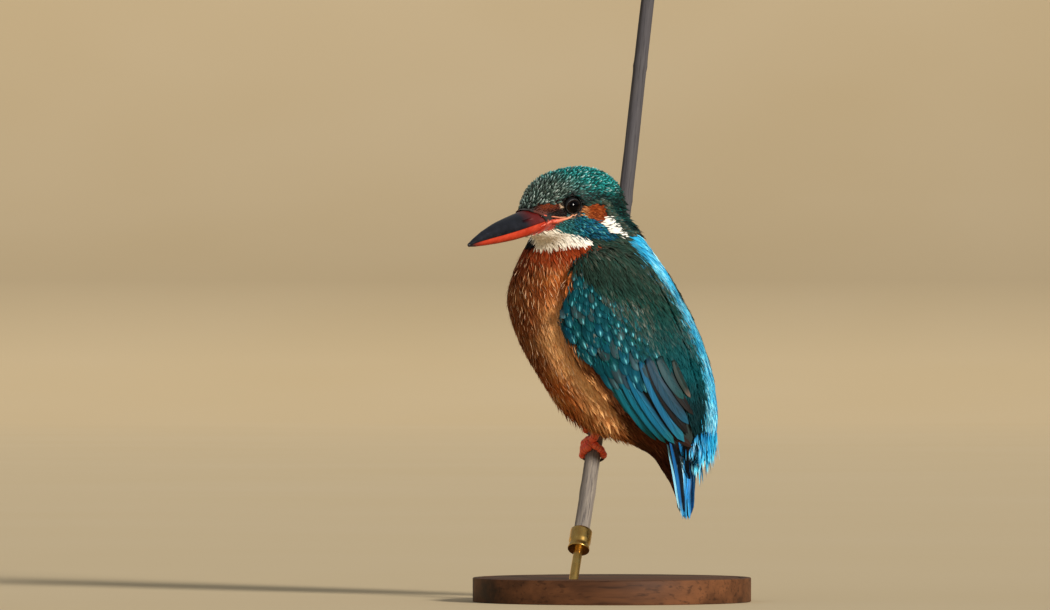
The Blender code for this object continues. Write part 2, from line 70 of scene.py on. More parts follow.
class Value:
    """A shader socket that numbers and other sockets can be added to, taken from or multiplied by."""

    def __init__(self, finish, socket):
        self.finish, self.socket = finish, socket

    def sum(self, operation, first, second):
        return self.finish.node("Math", {"operation": operation}, {0: first, 1: second})

    def __add__(self, other):
        return self.sum("ADD", self, other)

    def __radd__(self, other):
        return self.sum("ADD", other, self)

    def __sub__(self, other):
        return self.sum("SUBTRACT", self, other)

    def __rsub__(self, other):
        return self.sum("SUBTRACT", other, self)

    def __mul__(self, other):
        return self.sum("MULTIPLY", self, other)

    def __rmul__(self, other):
        return self.sum("MULTIPLY", other, self)


class Finish:
    """A material: node() adds any node, and feed() sets a socket of the shader or links something to it."""

    def __init__(self, name, **fixed):
        self.material = bpy.data.materials.new(name)
        self.material.use_nodes = True
        self.tree = self.material.node_tree
        self.shader = self.tree.nodes["Principled BSDF"]
        for socket, value in fixed.items():
            self.shader.inputs[socket.replace("_", " ")].default_value = value

    def node(self, kind, settings, sockets, output=0):
        made = self.tree.nodes.new("ShaderNode" + kind)
        for key, value in settings.items():
            setattr(made, key, value)
        for key, value in sockets.items():
            self.plug(made.inputs[key], value)
        return Value(self, made.outputs[output])

    def plug(self, socket, value):
        if isinstance(value, Value):
            self.tree.links.new(value.socket, socket)
        else:
            socket.default_value = paint(value) if isinstance(value, str) else value

    def feed(self, socket, value):
        self.plug(self.shader.inputs[socket], value)

    def place(self, scale=(1, 1, 1)):
        """Object coordinates, stretched by scale."""
        return self.node("Mapping", {}, {"Vector": self.node("TexCoord", {}, {}, "Object"), "Scale": scale})

    def part(self, vector, axis):
        return self.node("SeparateXYZ", {}, {"Vector": vector}, axis)

    def on_map(self, name, axis):
        """How far along one axis of the piece's own UV map."""
        return self.part(self.node("UVMap", {"uv_map": name}, {}), axis)

    def stored(self, name, output="Fac"):
        """A colour or number that the mesh stores for each of its points."""
        return self.node("Attribute", {"attribute_name": name}, {}, output)

    def noise(self, where, scale, detail=3, rough=0.55):
        sockets = {"Vector": where, "Scale": scale, "Detail": detail, "Roughness": rough}
        return self.node("TexNoise", {}, sockets, "Fac")

    def spread(self, value, low, high, to_low=0.0, to_high=1.0):
        """value from low to high, spread out from to_low to to_high and held there."""
        sockets = {"Value": value, "From Min": low, "From Max": high, "To Min": to_low, "To Max": to_high}
        return self.node("MapRange", {"clamp": True}, sockets)

    def mix(self, share, first, second, way="MIX"):
        settings = {"data_type": "RGBA", "blend_type": way}
        return self.node("Mix", settings, {0: share, 6: first, 7: second}, 2)

    def shaded(self, colour, shade):
        """A colour multiplied by a number."""
        grey = self.node("CombineXYZ", {}, {0: shade, 1: shade, 2: shade})
        return self.mix(1.0, colour, grey, "MULTIPLY")

    def done(self, colour, rough=None, bumps=None, strength=0.0, depth=0.0):
        """The material, with its colour, its roughness, and bumps that are depth millimetres deep."""
        self.feed("Base Color", colour)
        if rough is not None:
            self.feed("Roughness", rough)
        if bumps is not None:
            sockets = {"Height": bumps, "Strength": strength, "Distance": depth * MM}
            self.feed("Normal", self.node("Bump", {}, sockets))
        return self.material


def walnut():
    made = Finish("walnut", Specular_IOR_Level=0.14)
    ring = made.noise(made.place((9, 60, 60)), 1.6, 4, 0.6)
    pore = made.noise(made.place((60, 900, 900)), 1.0, 2, 0.5)
    colour = made.mix(made.spread(ring, 0.32, 0.68), "#2c1a10", "#6a4329")
    colour = made.mix(made.spread(pore, 0.55, 0.7, 0, 0.55), colour, "#1a0f09")
    return made.done(colour, made.spread(ring, 0.2, 0.8, 0.5, 0.65), pore, 0.25, 0.1)


def select_only(*pieces):
    """In object mode, selects these pieces and nothing else, and makes the first one active."""
    if bpy.context.object and bpy.context.object.mode != "OBJECT":
        bpy.ops.object.mode_set(mode="OBJECT")
    bpy.ops.object.select_all(action="DESELECT")
    for piece in pieces:
        piece.select_set(True)
    if pieces:
        bpy.context.view_layer.objects.active = pieces[0]


def choose(kind, wanted):
    """In edit mode, selects the faces or the edges that pass the test and nothing else."""
    bpy.ops.object.mode_set(mode="EDIT")
    bpy.ops.mesh.select_mode(type=kind)
    bpy.ops.mesh.select_all(action="DESELECT")
    mesh = bpy.context.object.data
    bm = bmesh.from_edit_mesh(mesh)
    for part in bm.faces if kind == "FACE" else bm.edges:
        part.select_set(wanted(part))
    bmesh.update_edit_mesh(mesh)


def cylinder(around, radius, length):
    """A cylinder of this many sides that stands upright on the origin."""
    select_only()
    bpy.ops.mesh.primitive_cylinder_add(
        vertices=around, radius=radius, depth=length, location=(0, 0, length / 2)
    )
    settle(bpy.context.object)
    return bpy.context.object


def settle(piece):
    """Puts a piece's place and turn into its mesh, so that its object sits at the origin."""
    select_only(piece)
    bpy.ops.object.transform_apply(location=True, rotation=True, scale=True)


def finished(piece, name, material, slot, *nodes):
    """Names a piece, gives it its material, and has it ride in place of its CAD nodes. Its slot is not
    used.
    """
    piece.name = piece.data.name = name
    piece.data.materials.clear()
    piece.data.materials.append(material)
    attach(piece, "root")
    if nodes:
        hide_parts(*nodes)
    return piece


def softened(piece, width, angle=35):
    """Rounds a piece's sharp edges by a bevel, and shades the rest smooth."""
    bevel = piece.modifiers.new("edges", "BEVEL")
    bevel.width = width
    bevel.segments = 3
    bevel.limit_method = "ANGLE"
    bevel.angle_limit = math.radians(angle)
    select_only(piece)
    bpy.ops.object.modifier_apply(modifier=bevel.name)
    bpy.ops.object.shade_smooth_by_angle(angle=math.radians(angle))


base = cylinder(144, base_radius, base_high.z)
choose("FACE", lambda face: face.normal.z > 0.9)
bpy.ops.mesh.inset(thickness=RIM_WIDTH)
bpy.ops.mesh.inset(thickness=COVE_WIDTH / 2)
bpy.ops.transform.translate(value=(0, 0, -COVE_DEPTH))
bpy.ops.mesh.inset(thickness=COVE_WIDTH)
bpy.ops.mesh.inset(thickness=COVE_WIDTH / 2)
bpy.ops.transform.translate(value=(0, 0, COVE_DEPTH))
softened(base, 0.35 * MM, angle=25)
finished(base, "display_base", walnut(), "stand_wood", "stand_base")


# ---- Perch stem ----------------------------------------------------------------------------------
# A cut length of dead reed-thick stem, weathered grey, with long dark cracks and a few old leaf scars.
# It is held in the brass cup at its foot, and the bird grips it near its middle.

STEM_RADIUS, STEM_TOP_RADIUS = 2.55 * MM, 2.2 * MM
STEM_FOOT, STEM_TOP = -31 * MM, 151 * MM
# How far the stem leans per millimetre of its rise, towards +X and +Y, and how that changes.
STEM_BEND = (0.148, -0.0003, 0.0000009), (0.605, -0.0015)
GRIP = Vector((-5.9, 4.8, 50.5)) * MM
LEAF_SCARS = (-14 * MM, 33 * MM, 83 * MM, 128 * MM)


def stem_at(rise):
    """The stem's centre line: rise is the height above the bird's grip."""
    h = rise / MM
    (a, b, c), (d, e) = STEM_BEND
    return GRIP + Vector(((a + b * h + c * h * h) * h, (d + e * h) * h, h)) * MM


def stem_radius(rise):
    share = (rise - STEM_FOOT) / (STEM_TOP - STEM_FOOT)
    return STEM_RADIUS + (STEM_TOP_RADIUS - STEM_RADIUS) * share


def stem_frame(rise):
    """Along the stem, its upper side, and the side towards the bird's tail."""
    along = (stem_at(rise + 0.5 * MM) - stem_at(rise - 0.5 * MM)).normalized()
    up = Vector((0, 0, 1))
    upper = (up - along * up.dot(along)).normalized()
    return along, upper, along.cross(upper)


def shaped_tube(around, rings, place, uv_name):
    """A cylinder cut into rings, whose points go where place(share of its length, angle round it) says."""
    select_only()
    bpy.ops.mesh.primitive_cylinder_add(vertices=around, radius=1, depth=1)
    piece = bpy.context.object
    choose("EDGE", lambda edge: abs(edge.verts[0].co.z - edge.verts[1].co.z) > 0.5)
    bpy.ops.mesh.subdivide(number_cuts=rings - 1)
    bpy.ops.object.mode_set(mode="OBJECT")
    mesh = piece.data
    spots = [(v.co.z + 0.5, math.atan2(v.co.y, v.co.x)) for v in mesh.vertices]
    while mesh.uv_layers:
        mesh.uv_layers.remove(mesh.uv_layers[0])
    uv = mesh.uv_layers.new(name=uv_name)
    for face in mesh.polygons:
        turns = [spots[mesh.loops[i].vertex_index][1] / (2 * math.pi) + 0.5 for i in face.loop_indices]
        wraps = max(turns) - min(turns) > 0.5
        for i, turn in zip(face.loop_indices, turns):
            u = turn + 1 if wraps and turn < 0.5 else turn
            uv.data[i].uv = (u, spots[mesh.loops[i].vertex_index][0])
    for vertex, (share, angle) in zip(mesh.vertices, spots):
        vertex.co = place(share, angle)
    bpy.ops.object.mode_set(mode="EDIT")
    bpy.ops.mesh.select_all(action="SELECT")
    bpy.ops.mesh.normals_make_consistent(inside=False)
    bpy.ops.object.mode_set(mode="OBJECT")
    bpy.ops.object.shade_smooth_by_angle(angle=math.radians(50))
    return piece


def stem_place(share, angle):
    rise = STEM_FOOT + (STEM_TOP - STEM_FOOT) * share
    _, upper, side = stem_frame(rise)
    broad = 0.022 * math.sin(7 * angle + 2.5 * math.sin(9 * share))
    fine = 0.014 * math.sin(13 * angle + 21 * share)
    scar = sum(math.exp(-(((rise - at) / (1.1 * MM)) ** 2)) for at in LEAF_SCARS)
    radius = stem_radius(rise) * (1 + (broad + fine) + 0.10 * scar)
    return stem_at(rise) + (upper * math.cos(angle) + side * math.sin(angle)) * radius


def weathered():
    made = Finish("weathered_stem")
    turn, along = made.on_map("Bark", 0) * (2 * math.pi), made.on_map("Bark", 1)
    east = made.node("Math", {"operation": "COSINE"}, {0: turn})
    north = made.node("Math", {"operation": "SINE"}, {0: turn})

    def ring(round_it, up_it):
        return made.node("CombineXYZ", {}, {0: east * round_it, 1: north * round_it, 2: along * up_it})

    crack = made.noise(ring(5, 16), 1.0, 4, 0.65)
    fibre = made.noise(ring(13, 26), 1.0, 3, 0.6)
    stain = made.noise(ring(1.2, 9), 1.0, 3, 0.5)
    colour = made.mix(made.spread(stain, 0.3, 0.7), "#6f675f", "#968b7c")
    colour = made.mix(made.spread(fibre, 0.35, 0.7, 0, 0.55), colour, "#575157")
    # From 90 mm up the stem is painted dark grey: painted shade on the stretch that runs up behind the
    # bird.
    high = made.spread(made.part(made.place(), 2), 90 * MM, 125 * MM)
    cracked = made.spread(crack, 0.55, 0.66)
    colour = made.mix(cracked * 0.85, made.mix(high * 0.9, colour, "#38363c"), "#2b272b")
    bumps = fibre * 0.5 - cracked * 0.8
    return made.done(colour, made.spread(fibre, 0.3, 0.7, 0.7, 0.9), bumps, 0.6, 0.15)


stem = shaped_tube(40, 260, stem_place, "Bark")
finished(stem, "perch_stem_weathered", weathered(), "stem_grey", "perch_stem")


# ---- Rod and cup ---------------------------------------------------------------------------------
# The stem's foot sits in a turned brass cup, soldered on top of a slanting brass rod. Both are
# lacquered and carry fine lathe marks.

ROD_RADIUS, CUP_RADIUS = 1.5 * MM, 3.6 * MM
CUP_FLOOR, CUP_WALL = 2.5 * MM, 5 * MM
foot_of_stem = stem_at(STEM_FOOT)
down_stem = -stem_frame(STEM_FOOT)[0]


def brass():
    made = Finish("lacquered_brass", Metallic=1.0, Coat_Weight=0.2)
    tarnish = made.noise(made.place(), 260, 3)
    turned = made.noise(made.place((500, 500, 9000)), 1.0, 1)
    colour = made.mix(made.spread(tarnish, 0.4, 0.75), "#d9b061", "#a87f3c")
    return made.done(colour, made.spread(tarnish, 0.3, 0.7, 0.2, 0.34), turned, 0.12, 0.02)


def lay_along(piece, start, way):
    """Stands a piece that was made upwards from the origin on a place, along a direction."""
    piece.rotation_mode = "QUATERNION"
    piece.rotation_quaternion = way.to_track_quat("Z", "Y")
    piece.location = start
    settle(piece)


polished = brass()
rod_foot_z = base_high.z - 4.5 * MM
rod_top = foot_of_stem + down_stem * (CUP_FLOOR - 0.4 * MM)
rod_length = (rod_top.z - rod_foot_z) / -down_stem.z
rod = cylinder(40, ROD_RADIUS, rod_length)
softened(rod, 0.1 * MM)
lay_along(rod, rod_top, down_stem)
finished(rod, "display_rod", polished, "stand_brass", "stand_rod")

cup_length = CUP_FLOOR + CUP_WALL
cup = cylinder(56, CUP_RADIUS, cup_length)
choose("FACE", lambda face: face.normal.z < -0.9)
bpy.ops.mesh.inset(thickness=CUP_RADIUS - STEM_RADIUS * 1.06)
bpy.ops.mesh.extrude_region_move(TRANSFORM_OT_translate={"value": (0, 0, CUP_WALL)})
choose("EDGE", lambda edge: abs(edge.verts[0].co.z - edge.verts[1].co.z) > cup_length * 0.9)
bpy.ops.mesh.subdivide(number_cuts=9)


def in_cup_groove(face):
    """Whether a face of the cup's outer wall lies in the shallow groove round it."""
    centre = face.calc_center_median()
    upright = abs(face.normal.z) < 0.1 and centre.xy.length > STEM_RADIUS * 1.2
    return upright and abs(centre.z - 0.75 * cup_length) < 0.07 * cup_length


choose("FACE", in_cup_groove)
bpy.ops.transform.resize(value=(0.93, 0.93, 1), center_override=(0, 0, 0))
bpy.ops.object.mode_set(mode="OBJECT")
softened(cup, 0.25 * MM)
lay_along(cup, foot_of_stem - down_stem * CUP_WALL, down_stem)
finished(cup, "display_cup", polished, "stand_brass", "stand_ferrule")


# ---- Feet ----------------------------------------------------------------------------------------
# Small weak feet of bare red skin: a short shank and four toes that close round the stem, the middle
# and outer ones joined for much of their length. Broad scutes lie across their upper sides, and pads
# under the joints.

LEFT, RIGHT = -1, 1
SIDE_NAMES = {LEFT: "left", RIGHT: "right"}
TOE_RADIUS, TARSUS_RADIUS = 1.15 * MM, 1.25 * MM
FOOT_RISE = {LEFT: 0.6 * MM, RIGHT: 9.0 * MM}
HIP = {LEFT: Vector((-2.9, -3.5, 60.8)) * MM, RIGHT: Vector((0.7, 4.8, 66.8)) * MM}
# Each toe: its name, the way it goes round the stem, where it starts along the stem and its drop along
# it, both in millimetres, how many degrees round it reaches, and its number of scutes.
TOES = [
    ("inner", -1, -2.0, 1.5, 104, 8),
    ("middle", -1, -0.5, 1.8, 122, 11),
    ("outer", -1, 1.0, 1.9, 116, 10),
    ("hind", 1, -1.1, 2.2, 112, 8),
]


def round_stem(rise, way, start, drop, degrees, off):
    """A point on a path that goes round the stem from its upper side, off metres from the stem's skin."""
    at = rise + (start - drop * degrees / 140) * MM
    _, upper, side = stem_frame(at)
    turn = math.radians(degrees)
    out = upper * math.cos(turn) + side * (way * math.sin(turn))
    return stem_at(at) + out * (stem_radius(at) + off)


def tube_on(path, radii, angle, share):
    """A point of a round tube along path(share), of radius radii(share)."""
    here = path(share)
    along = (path(min(share + 0.01, 1)) - path(max(share - 0.01, 0))).normalized()
    guide = Vector((0.3, 0.1, 1))
    across = along.cross(guide).normalized()
    above = across.cross(along)
    return here + (across * math.cos(angle) + above * math.sin(angle)) * radii(share)


def red_skin():
    made = Finish("red_foot_skin", Specular_IOR_Level=0.55, Subsurface_Weight=0.08)
    edge = made.node("Math", {"operation": "PINGPONG"}, {0: made.on_map("Scutes", 1), 1: 0.5})
    crease = made.spread(edge, 0.0, 0.13, 1.0, 0.0)
    grain = made.noise(made.place(), 1600, 3)
    mottle = made.noise(made.place(), 420, 3)
    colour = made.mix(made.spread(mottle, 0.35, 0.7), "#ff4c28", "#ff7a4c")
    colour = made.mix(crease * 0.6, colour, "#8a1f12")
    colour = made.mix(made.spread(grain, 0.6, 0.8, 0, 0.3), colour, "#f2a184")
    return made.done(colour, made.spread(mottle, 0.3, 0.7, 0.34, 0.5), grain * 0.25 - crease, 0.7, 0.12)


def round_tube(around, rings, path, radii, scutes=1, uv_name="Scutes"):
    """A round tube along a path, with this many scutes along it for its second coordinate to count."""
    piece = shaped_tube(around, rings, lambda share, angle: tube_on(path, radii, angle, share), uv_name)
    for corner in piece.data.uv_layers[0].data:
        corner.uv[1] *= scutes
    return piece


def joined(pieces):
    select_only(*pieces)
    bpy.ops.object.join()
    return pieces[0]


def horn():
    made = Finish("dark_claw", Coat_Weight=0.3, Coat_Roughness=0.2)
    streak = made.noise(made.place((900, 900, 250)), 1.0, 3)
    colour = made.mix(made.spread(streak, 0.3, 0.7), "#171010", "#4a332c")
    return made.done(colour, made.spread(streak, 0.3, 0.7, 0.25, 0.4), streak, 0.15, 0.05)


foot_skin, claw_horn = red_skin(), horn()
CLAW_DEGREES, CLAW_OVERLAP = 48, 5
for side, word in SIDE_NAMES.items():
    rise = FOOT_RISE[side]
    heel = round_stem(rise, 1, 0, 0, 0, TOE_RADIUS * 1.3)

    def shank_path(share):
        return HIP[side].lerp(heel, share) + Vector((0.5 * MM, 0, 0)) * math.sin(math.pi * share)

    def shank_radius(share):
        return TARSUS_RADIUS * (1.0 + 0.18 * share**3 + 0.03 * math.cos(12 * math.pi * share))

    limbs = [round_tube(18, 26, shank_path, shank_radius, 6)]
    for name, way, start, drop, reach, scutes in TOES:

        def toe_path(share):
            rooted = start * min(1.0, 0.35 + 3.0 * share)
            return round_stem(rise, way, rooted, drop, reach * share, TOE_RADIUS * (0.94 - 0.1 * share))

        def toe_radius(share):
            joints = 0.09 * math.cos(2 * math.pi * share * 3)
            plates = 0.05 * abs(math.sin(math.pi * share * scutes))
            closing = math.sqrt(max(1 - max(0.0, (share - 0.9) / 0.1) ** 2, 0.02))
            return TOE_RADIUS * (1.08 - 0.16 * share - joints + plates) * closing

        def claw_path(share):
            degrees = reach - CLAW_OVERLAP + (CLAW_DEGREES + CLAW_OVERLAP) * share
            return round_stem(rise, way, start, drop, degrees, TOE_RADIUS * (0.95 - 0.55 * share))

        def claw_radius(share):
            return (0.66 * (1 - share) ** 0.7 + 0.04) * MM

        limbs.append(round_tube(16, 72, toe_path, toe_radius, scutes))
        claw = round_tube(14, 22, claw_path, claw_radius, uv_name="Horn")
        finished(claw, f"talon_{word}_{name}", claw_horn, "claw_dark", f"claw_{word}_{name}")
    finished(joined(limbs), f"foot_{word}", foot_skin, "foot_red", f"leg_{word}")


# ---- Skin ----------------------------------------------------------------------------------------
# One unbroken skin over head, neck, trunk and folded wings. It lies under the coat by the coat's own
# depth, with the holes for the eyes and the bill, and it carries the same markings as the feathers, in
# darker down.

BODY_TURN = math.radians(-16)
BODY_PLACE = Vector((0, -4.3, 0)) * MM
HEAD_CENTRE = Vector((-12.9, -4.3, 130.4)) * MM
HEAD_TURN, HEAD_DIP = math.radians(51), math.radians(10)
SEALING = 0.35 * MM
SKIN_VOXEL = 0.62 * MM


def axes_at(centre, turn, dip):
    """Axes of a piece that looks along its own +X, with its left at +Y: turned from -X towards -Y, then
    dipped."""
    ahead = Vector((-math.cos(dip) * math.cos(turn), -math.cos(dip) * math.sin(turn), -math.sin(dip)))
    left = Vector((math.sin(turn), -math.cos(turn), 0))
    axes = Matrix((ahead, left, ahead.cross(left))).transposed().to_4x4()
    return Matrix.Translation(centre) @ axes


head_axes = axes_at(HEAD_CENTRE, HEAD_TURN, HEAD_DIP)
body_axes = Matrix.Translation(BODY_PLACE) @ Matrix.Rotation(BODY_TURN, 4, "Z")


def within(axes, points):
    """Places in a frame's own axes, in millimetres."""
    turn = np.array(axes.to_3x3())
    return (points - np.array(axes.translation)) @ turn / MM


def from_frame(axes, points):
    """The other way: from a frame's own millimetres to places in the model."""
    return np.asarray(points, float) * MM @ np.array(axes.to_3x3()).T + np.array(axes.translation)


def ramp(value, low, high):
    return np.clip((value - low) / (high - low), 0, 1)


def eased(value, low, high):
    share = ramp(value, low, high)
    return share * share * (3 - 2 * share)


FLESH_NODES = ("head", "neck", "trunk", "wing_left", "wing_right")
copies = []
for name in FLESH_NODES:
    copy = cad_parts[name].copy()
    copy.data = copy.data.copy()
    copy.parent = None
    for key in list(copy.keys()):
        del copy[key]
    bpy.context.scene.collection.objects.link(copy)
    copies.append(copy)
skin = joined(copies)
bpy.ops.object.mode_set(mode="EDIT")
bpy.ops.mesh.select_all(action="SELECT")
bpy.ops.mesh.remove_doubles(threshold=0.001 * MM)
bpy.ops.object.mode_set(mode="OBJECT")
seal = skin.modifiers.new("sealed", "DISPLACE")
seal.strength = SEALING
seal.mid_level = 0
remesh = skin.modifiers.new("one_skin", "REMESH")
remesh.mode = "VOXEL"
remesh.voxel_size = SKIN_VOXEL
for modifier in (seal, remesh):
    bpy.ops.object.modifier_apply(modifier=modifier.name)


def numbers(mesh, what, field, width):
    """One field of a mesh's parts as a table."""
    out = np.empty(len(getattr(mesh, what)) * width, np.float32)
    getattr(mesh, what).foreach_get(field, out)
    return out.reshape(-1, width) if width > 1 else out


places = numbers(skin.data, "vertices", "co", 3).astype(float)
normals = numbers(skin.data, "vertex_normals", "vector", 3).astype(float)
HEAD_FOOT_LOW, HEAD_FOOT_HIGH = 112 * MM, 124 * MM
HEAD_COAT, EXTRA_BODY_COAT = 0.55, 0.75
coat_depth = HEAD_COAT + EXTRA_BODY_COAT * (1 - eased(places[:, 2], HEAD_FOOT_LOW, HEAD_FOOT_HIGH))
places -= normals * ((coat_depth + SEALING / MM) * MM)[:, None]
# The rump's feathers hang clear of the body, so the skin under them stops short of their tips.
RUMP_FOOT, RUMP_TUCK = 51.5, 0.62
at_body = within(body_axes, places)
tucked = RUMP_TUCK * np.clip(RUMP_FOOT - at_body[:, 2], 0, None)
places[:, 2] += tucked * eased(at_body[:, 0], 22.5, 26.5) * MM
skin.data.vertices.foreach_set("co", places.astype(np.float32).ravel())
skin.data.update()
soften = skin.modifiers.new("eased", "SMOOTH")
soften.factor = 0.5
soften.iterations = 14
bpy.ops.object.modifier_apply(modifier=soften.name)

# The coat's markings. On the head an outline's corners give degrees round from the bill, on either
# side, and height above the head's centre in millimetres. On the body a line's points give height, and
# distance back.
CAP_EDGE = [(0, 3.4), (10, 4.7), (17, 4.5), (24, 4.4), (30, 4.9), (38, 5.4), (45, 4.8), (50, 3.4),
            (56, 1.8), (65, 2.2), (84, 2.1), (99, 0.9), (104, -1.2), (105, -4.8), (106, -9.5),
            (125, -11.0), (180, -12.3)]
THROAT_EDGE = [(0, -13.4), (9, -12.9), (25, -12.4), (37, -11.9), (48, -12.3), (56, -12.3), (62, -11.4),
               (75, -11.2), (90, -10.8), (180, -10.0)]
HEAD_OUTLINES = {
    "malar": [(19, -3.8), (21, -2.6), (29, -1.6), (38, -0.9), (48, -0.4), (55, -1.2), (63, -2.2),
              (72, -3.9), (79, -5.3), (84, -7.1), (88, -8.8), (88, -11.3), (74, -11.2), (65, -10.4),
              (57, -9.9), (46, -8.5), (34, -7.5), (26, -6.6), (20, -5.4)],
    "ear": [(47, 0.2), (52, 1.4), (56, 1.8), (67, 2.0), (84, 1.9), (89, 1.1), (94, -0.6), (95, -2.4),
            (90, -4.0), (87, -5.4), (82, -6.0), (73, -4.5), (63, -2.8), (54, -1.8)],
    "collar": [(80, -5.4), (85, -5.0), (87, -4.2), (89, -3.8), (91, -4.6), (92, -6.4), (92, -8.2),
               (96, -9.8), (93, -10.4), (88, -9.4), (82, -7.8)],
    "gape": [(4, -0.6), (16, -0.5), (22, -1.3), (30, -1.9), (25, -2.4), (22, -3.2), (20.5, -4.5),
             (14, -5.0), (4, -5.1)],
    "lores": [(8, 4.8), (24, 4.5), (27, 3.4), (26, 1.3), (17, 1.3), (8, 0.9)],
    "stripe": [(8, 1.0), (17, 1.4), (25, 1.5), (31, 2.0), (34, 0.4), (32, -1.0), (22, -1.4), (8, -1.0)],
    "pale_spot": [(26.0, 3.9), (28.6, 3.5), (29.6, 1.8), (27.0, 1.7)],
    "eye_rim": [(29, 3), (30, 5.2), (38.5, 6.1), (47, 5.4), (52, 2.8), (50, 0.2), (38.5, -0.5),
                (31, 0.4)],
}
WING_FRONT = [(117.3, -0.5), (114, -4.2), (109.6, -7.6), (104.2, -7.6), (100.2, -8.6), (96.2, -10.8),
              (93.2, -11.6), (89.2, -11.2), (86.5, -9.5), (82.6, -6.4), (79.5, -3.2), (75.3, 0.2),
              (70.4, 4.4), (64.7, 7.6), (59.2, 12.3), (55.8, 15.4), (52.8, 21.4), (50.7, 24.2),
              (49.1, 26.6), (30, 26.6)]
AZURE_EDGE = [(124, 2.5), (117.5, 7.8), (110.5, 13.6), (104.6, 18.2), (95.7, 23.2), (87.8, 27.2),
              (79.9, 30.2), (72, 31.9), (65.2, 32.4), (55.3, 32.2), (50.4, 30.8), (46.4, 30.4),
              (40, 30.4)]


def inside(outline, across, up):
    """Which places lie inside an outline."""
    hit = np.zeros(len(across), bool)
    for (ax, ay), (bx, by) in zip(outline, outline[1:] + outline[:1]):
        crosses = (ay > up) != (by > up)
        with np.errstate(divide="ignore", invalid="ignore"):
            hit ^= crosses & (across < (bx - ax) * (up - ay) / (by - ay) + ax)
    return hit


def on_line(line, values):
    """A line's second number at each value of its first."""
    line = sorted(line)
    return np.interp(values, [a for a, _ in line], [b for _, b in line])


def round_head(at_head):
    """Degrees round the head from the bill, on either side."""
    return np.abs(np.degrees(np.arctan2(at_head[:, 1], at_head[:, 0])))


# The tracts of the coat, and the colour of the down under each.
DOWN = {
    "breast": "#6e3413", "throat": "#cbbfa6", "cap": "#0a2422", "malar": "#0a2430", "ear": "#6b2a10",
    "collar": "#cfc6b4", "lores": "#571f0c", "stripe": "#120c0a", "pale_spot": "#a08568",
    "eye_rim": "#1b1410", "mantle": "#0e2622", "azure": "#0e5c8c", "tail_base": "#10344c",
    "far_shade": "#0a0d12", "gape": "#a8361f",
}
CODE = {name: i for i, name in enumerate(DOWN)}
RAGGED = 0.25 * MM


def tract_of(points, seed):
    """The tract that each place belongs to, with ragged edges between them."""
    shift = np.random.default_rng(seed).normal(0, 1, (len(points), 3)) * RAGGED
    at_head, at_body = within(head_axes, points + shift), within(body_axes, points + shift)
    degrees, up = round_head(at_head), at_head[:, 2]
    x, y, z = at_body.T
    tract = np.full(len(points), CODE["breast"])
    tract[x > on_line(WING_FRONT, z)] = CODE["mantle"]
    tract[(z < 50.8) & (x > 22.6)] = CODE["tail_base"]
    reach = 6.3 + 6.7 * ramp(np.abs(z - 84), 22, 28)
    tract[(np.abs(y) < reach) & (x > on_line(AZURE_EDGE, z))] = CODE["azure"]
    on_head = up > on_line(THROAT_EDGE, degrees)
    tract[on_head] = CODE["throat"]
    tract[on_head & (degrees > 60)] = CODE["mantle"]
    under_eye = (up > -4.5) & (up < 0.5) & (degrees > 18) & (degrees < 52)
    tract[under_eye & (tract == CODE["throat"])] = CODE["malar"]
    for name, outline in HEAD_OUTLINES.items():
        tract[inside(outline, degrees, up) & (up > -13)] = CODE[name]
    # A near-black patch low on the far side of the neck: painted shadow under the head.
    far_shade_patch = (at_head[:, 1] < 0) & (degrees > 25) & (degrees < 75) & (up < -8.8) & (up > -12.8)
    tract[far_shade_patch] = CODE["far_shade"]
    above_cap = up > on_line(CAP_EDGE, degrees)
    rim = inside(HEAD_OUTLINES["eye_rim"], degrees, up)
    tract[above_cap & ~rim] = CODE["cap"]
    tract[~above_cap & (up > 0.2) & (degrees < 60) & (tract == CODE["throat"])] = CODE["eye_rim"]
    return tract


def tinted(mesh, colours):
    """Stores a colour for each point of a mesh, with a number of its own in the fourth place."""
    attribute = mesh.color_attributes.new("Tint", "FLOAT_COLOR", "POINT")
    attribute.data.foreach_set("color", colours.astype(np.float32).ravel())


def downy():
    made = Finish("downy_skin", Roughness=0.85, Sheen_Weight=0.2)
    fuzz = made.noise(made.place((1, 1, 0.4)), 1500, 3)
    colour = made.shaded(made.stored("Tint", "Color"), made.spread(fuzz, 0.3, 0.7, 0.45, 1.1))
    return made.done(colour, None, fuzz, 0.8, 0.2)


places = numbers(skin.data, "vertices", "co", 3).astype(float)
tinted(skin.data, np.array([paint(code) for code in DOWN.values()])[tract_of(places, 1)])
skin.data.shade_smooth()
finished(skin, "bird_skin", downy(), "plumage_orange", *FLESH_NODES)


# ---- Eyes and lids -------------------------------------------------------------------------------
# Near-black eyes of glass, with a brown iris that shows only close to, set deep in the face. A thin
# wrinkled lid rings each one, dark above and paler below.

EYE_LEAN = math.radians(24)
LID_WIDTH, LID_HEIGHT, LID_THICKNESS = 2.7 * MM, 0.93, 0.24 * MM


def dark_eye():
    made = Finish("eye", Roughness=0.06, Specular_IOR_Level=0.2, IOR=1.35)
    fleck = made.noise(made.place(), 3800, 2)
    iris = made.mix(made.spread(fleck, 0.35, 0.7), "#0e0805", "#1c0e07")
    return made.done(made.mix(made.spread(made.stored("Gaze"), 0.80, 0.83), iris, "#030203"))


def lid_skin():
    made = Finish("lid", Roughness=0.5)
    wrinkle = made.noise(made.place(), 2600, 3)
    colour = made.mix(made.stored("Pale"), "#030303", "#120d0b")
    colour = made.mix(made.spread(wrinkle, 0.4, 0.7, 0, 0.5), colour, "#0b0808")
    return made.done(colour, None, wrinkle, 0.7, 0.08)


def per_point(mesh, name, values):
    attribute = mesh.attributes.new(name, "FLOAT", "POINT")
    attribute.data.foreach_set("value", np.asarray(values, np.float32))


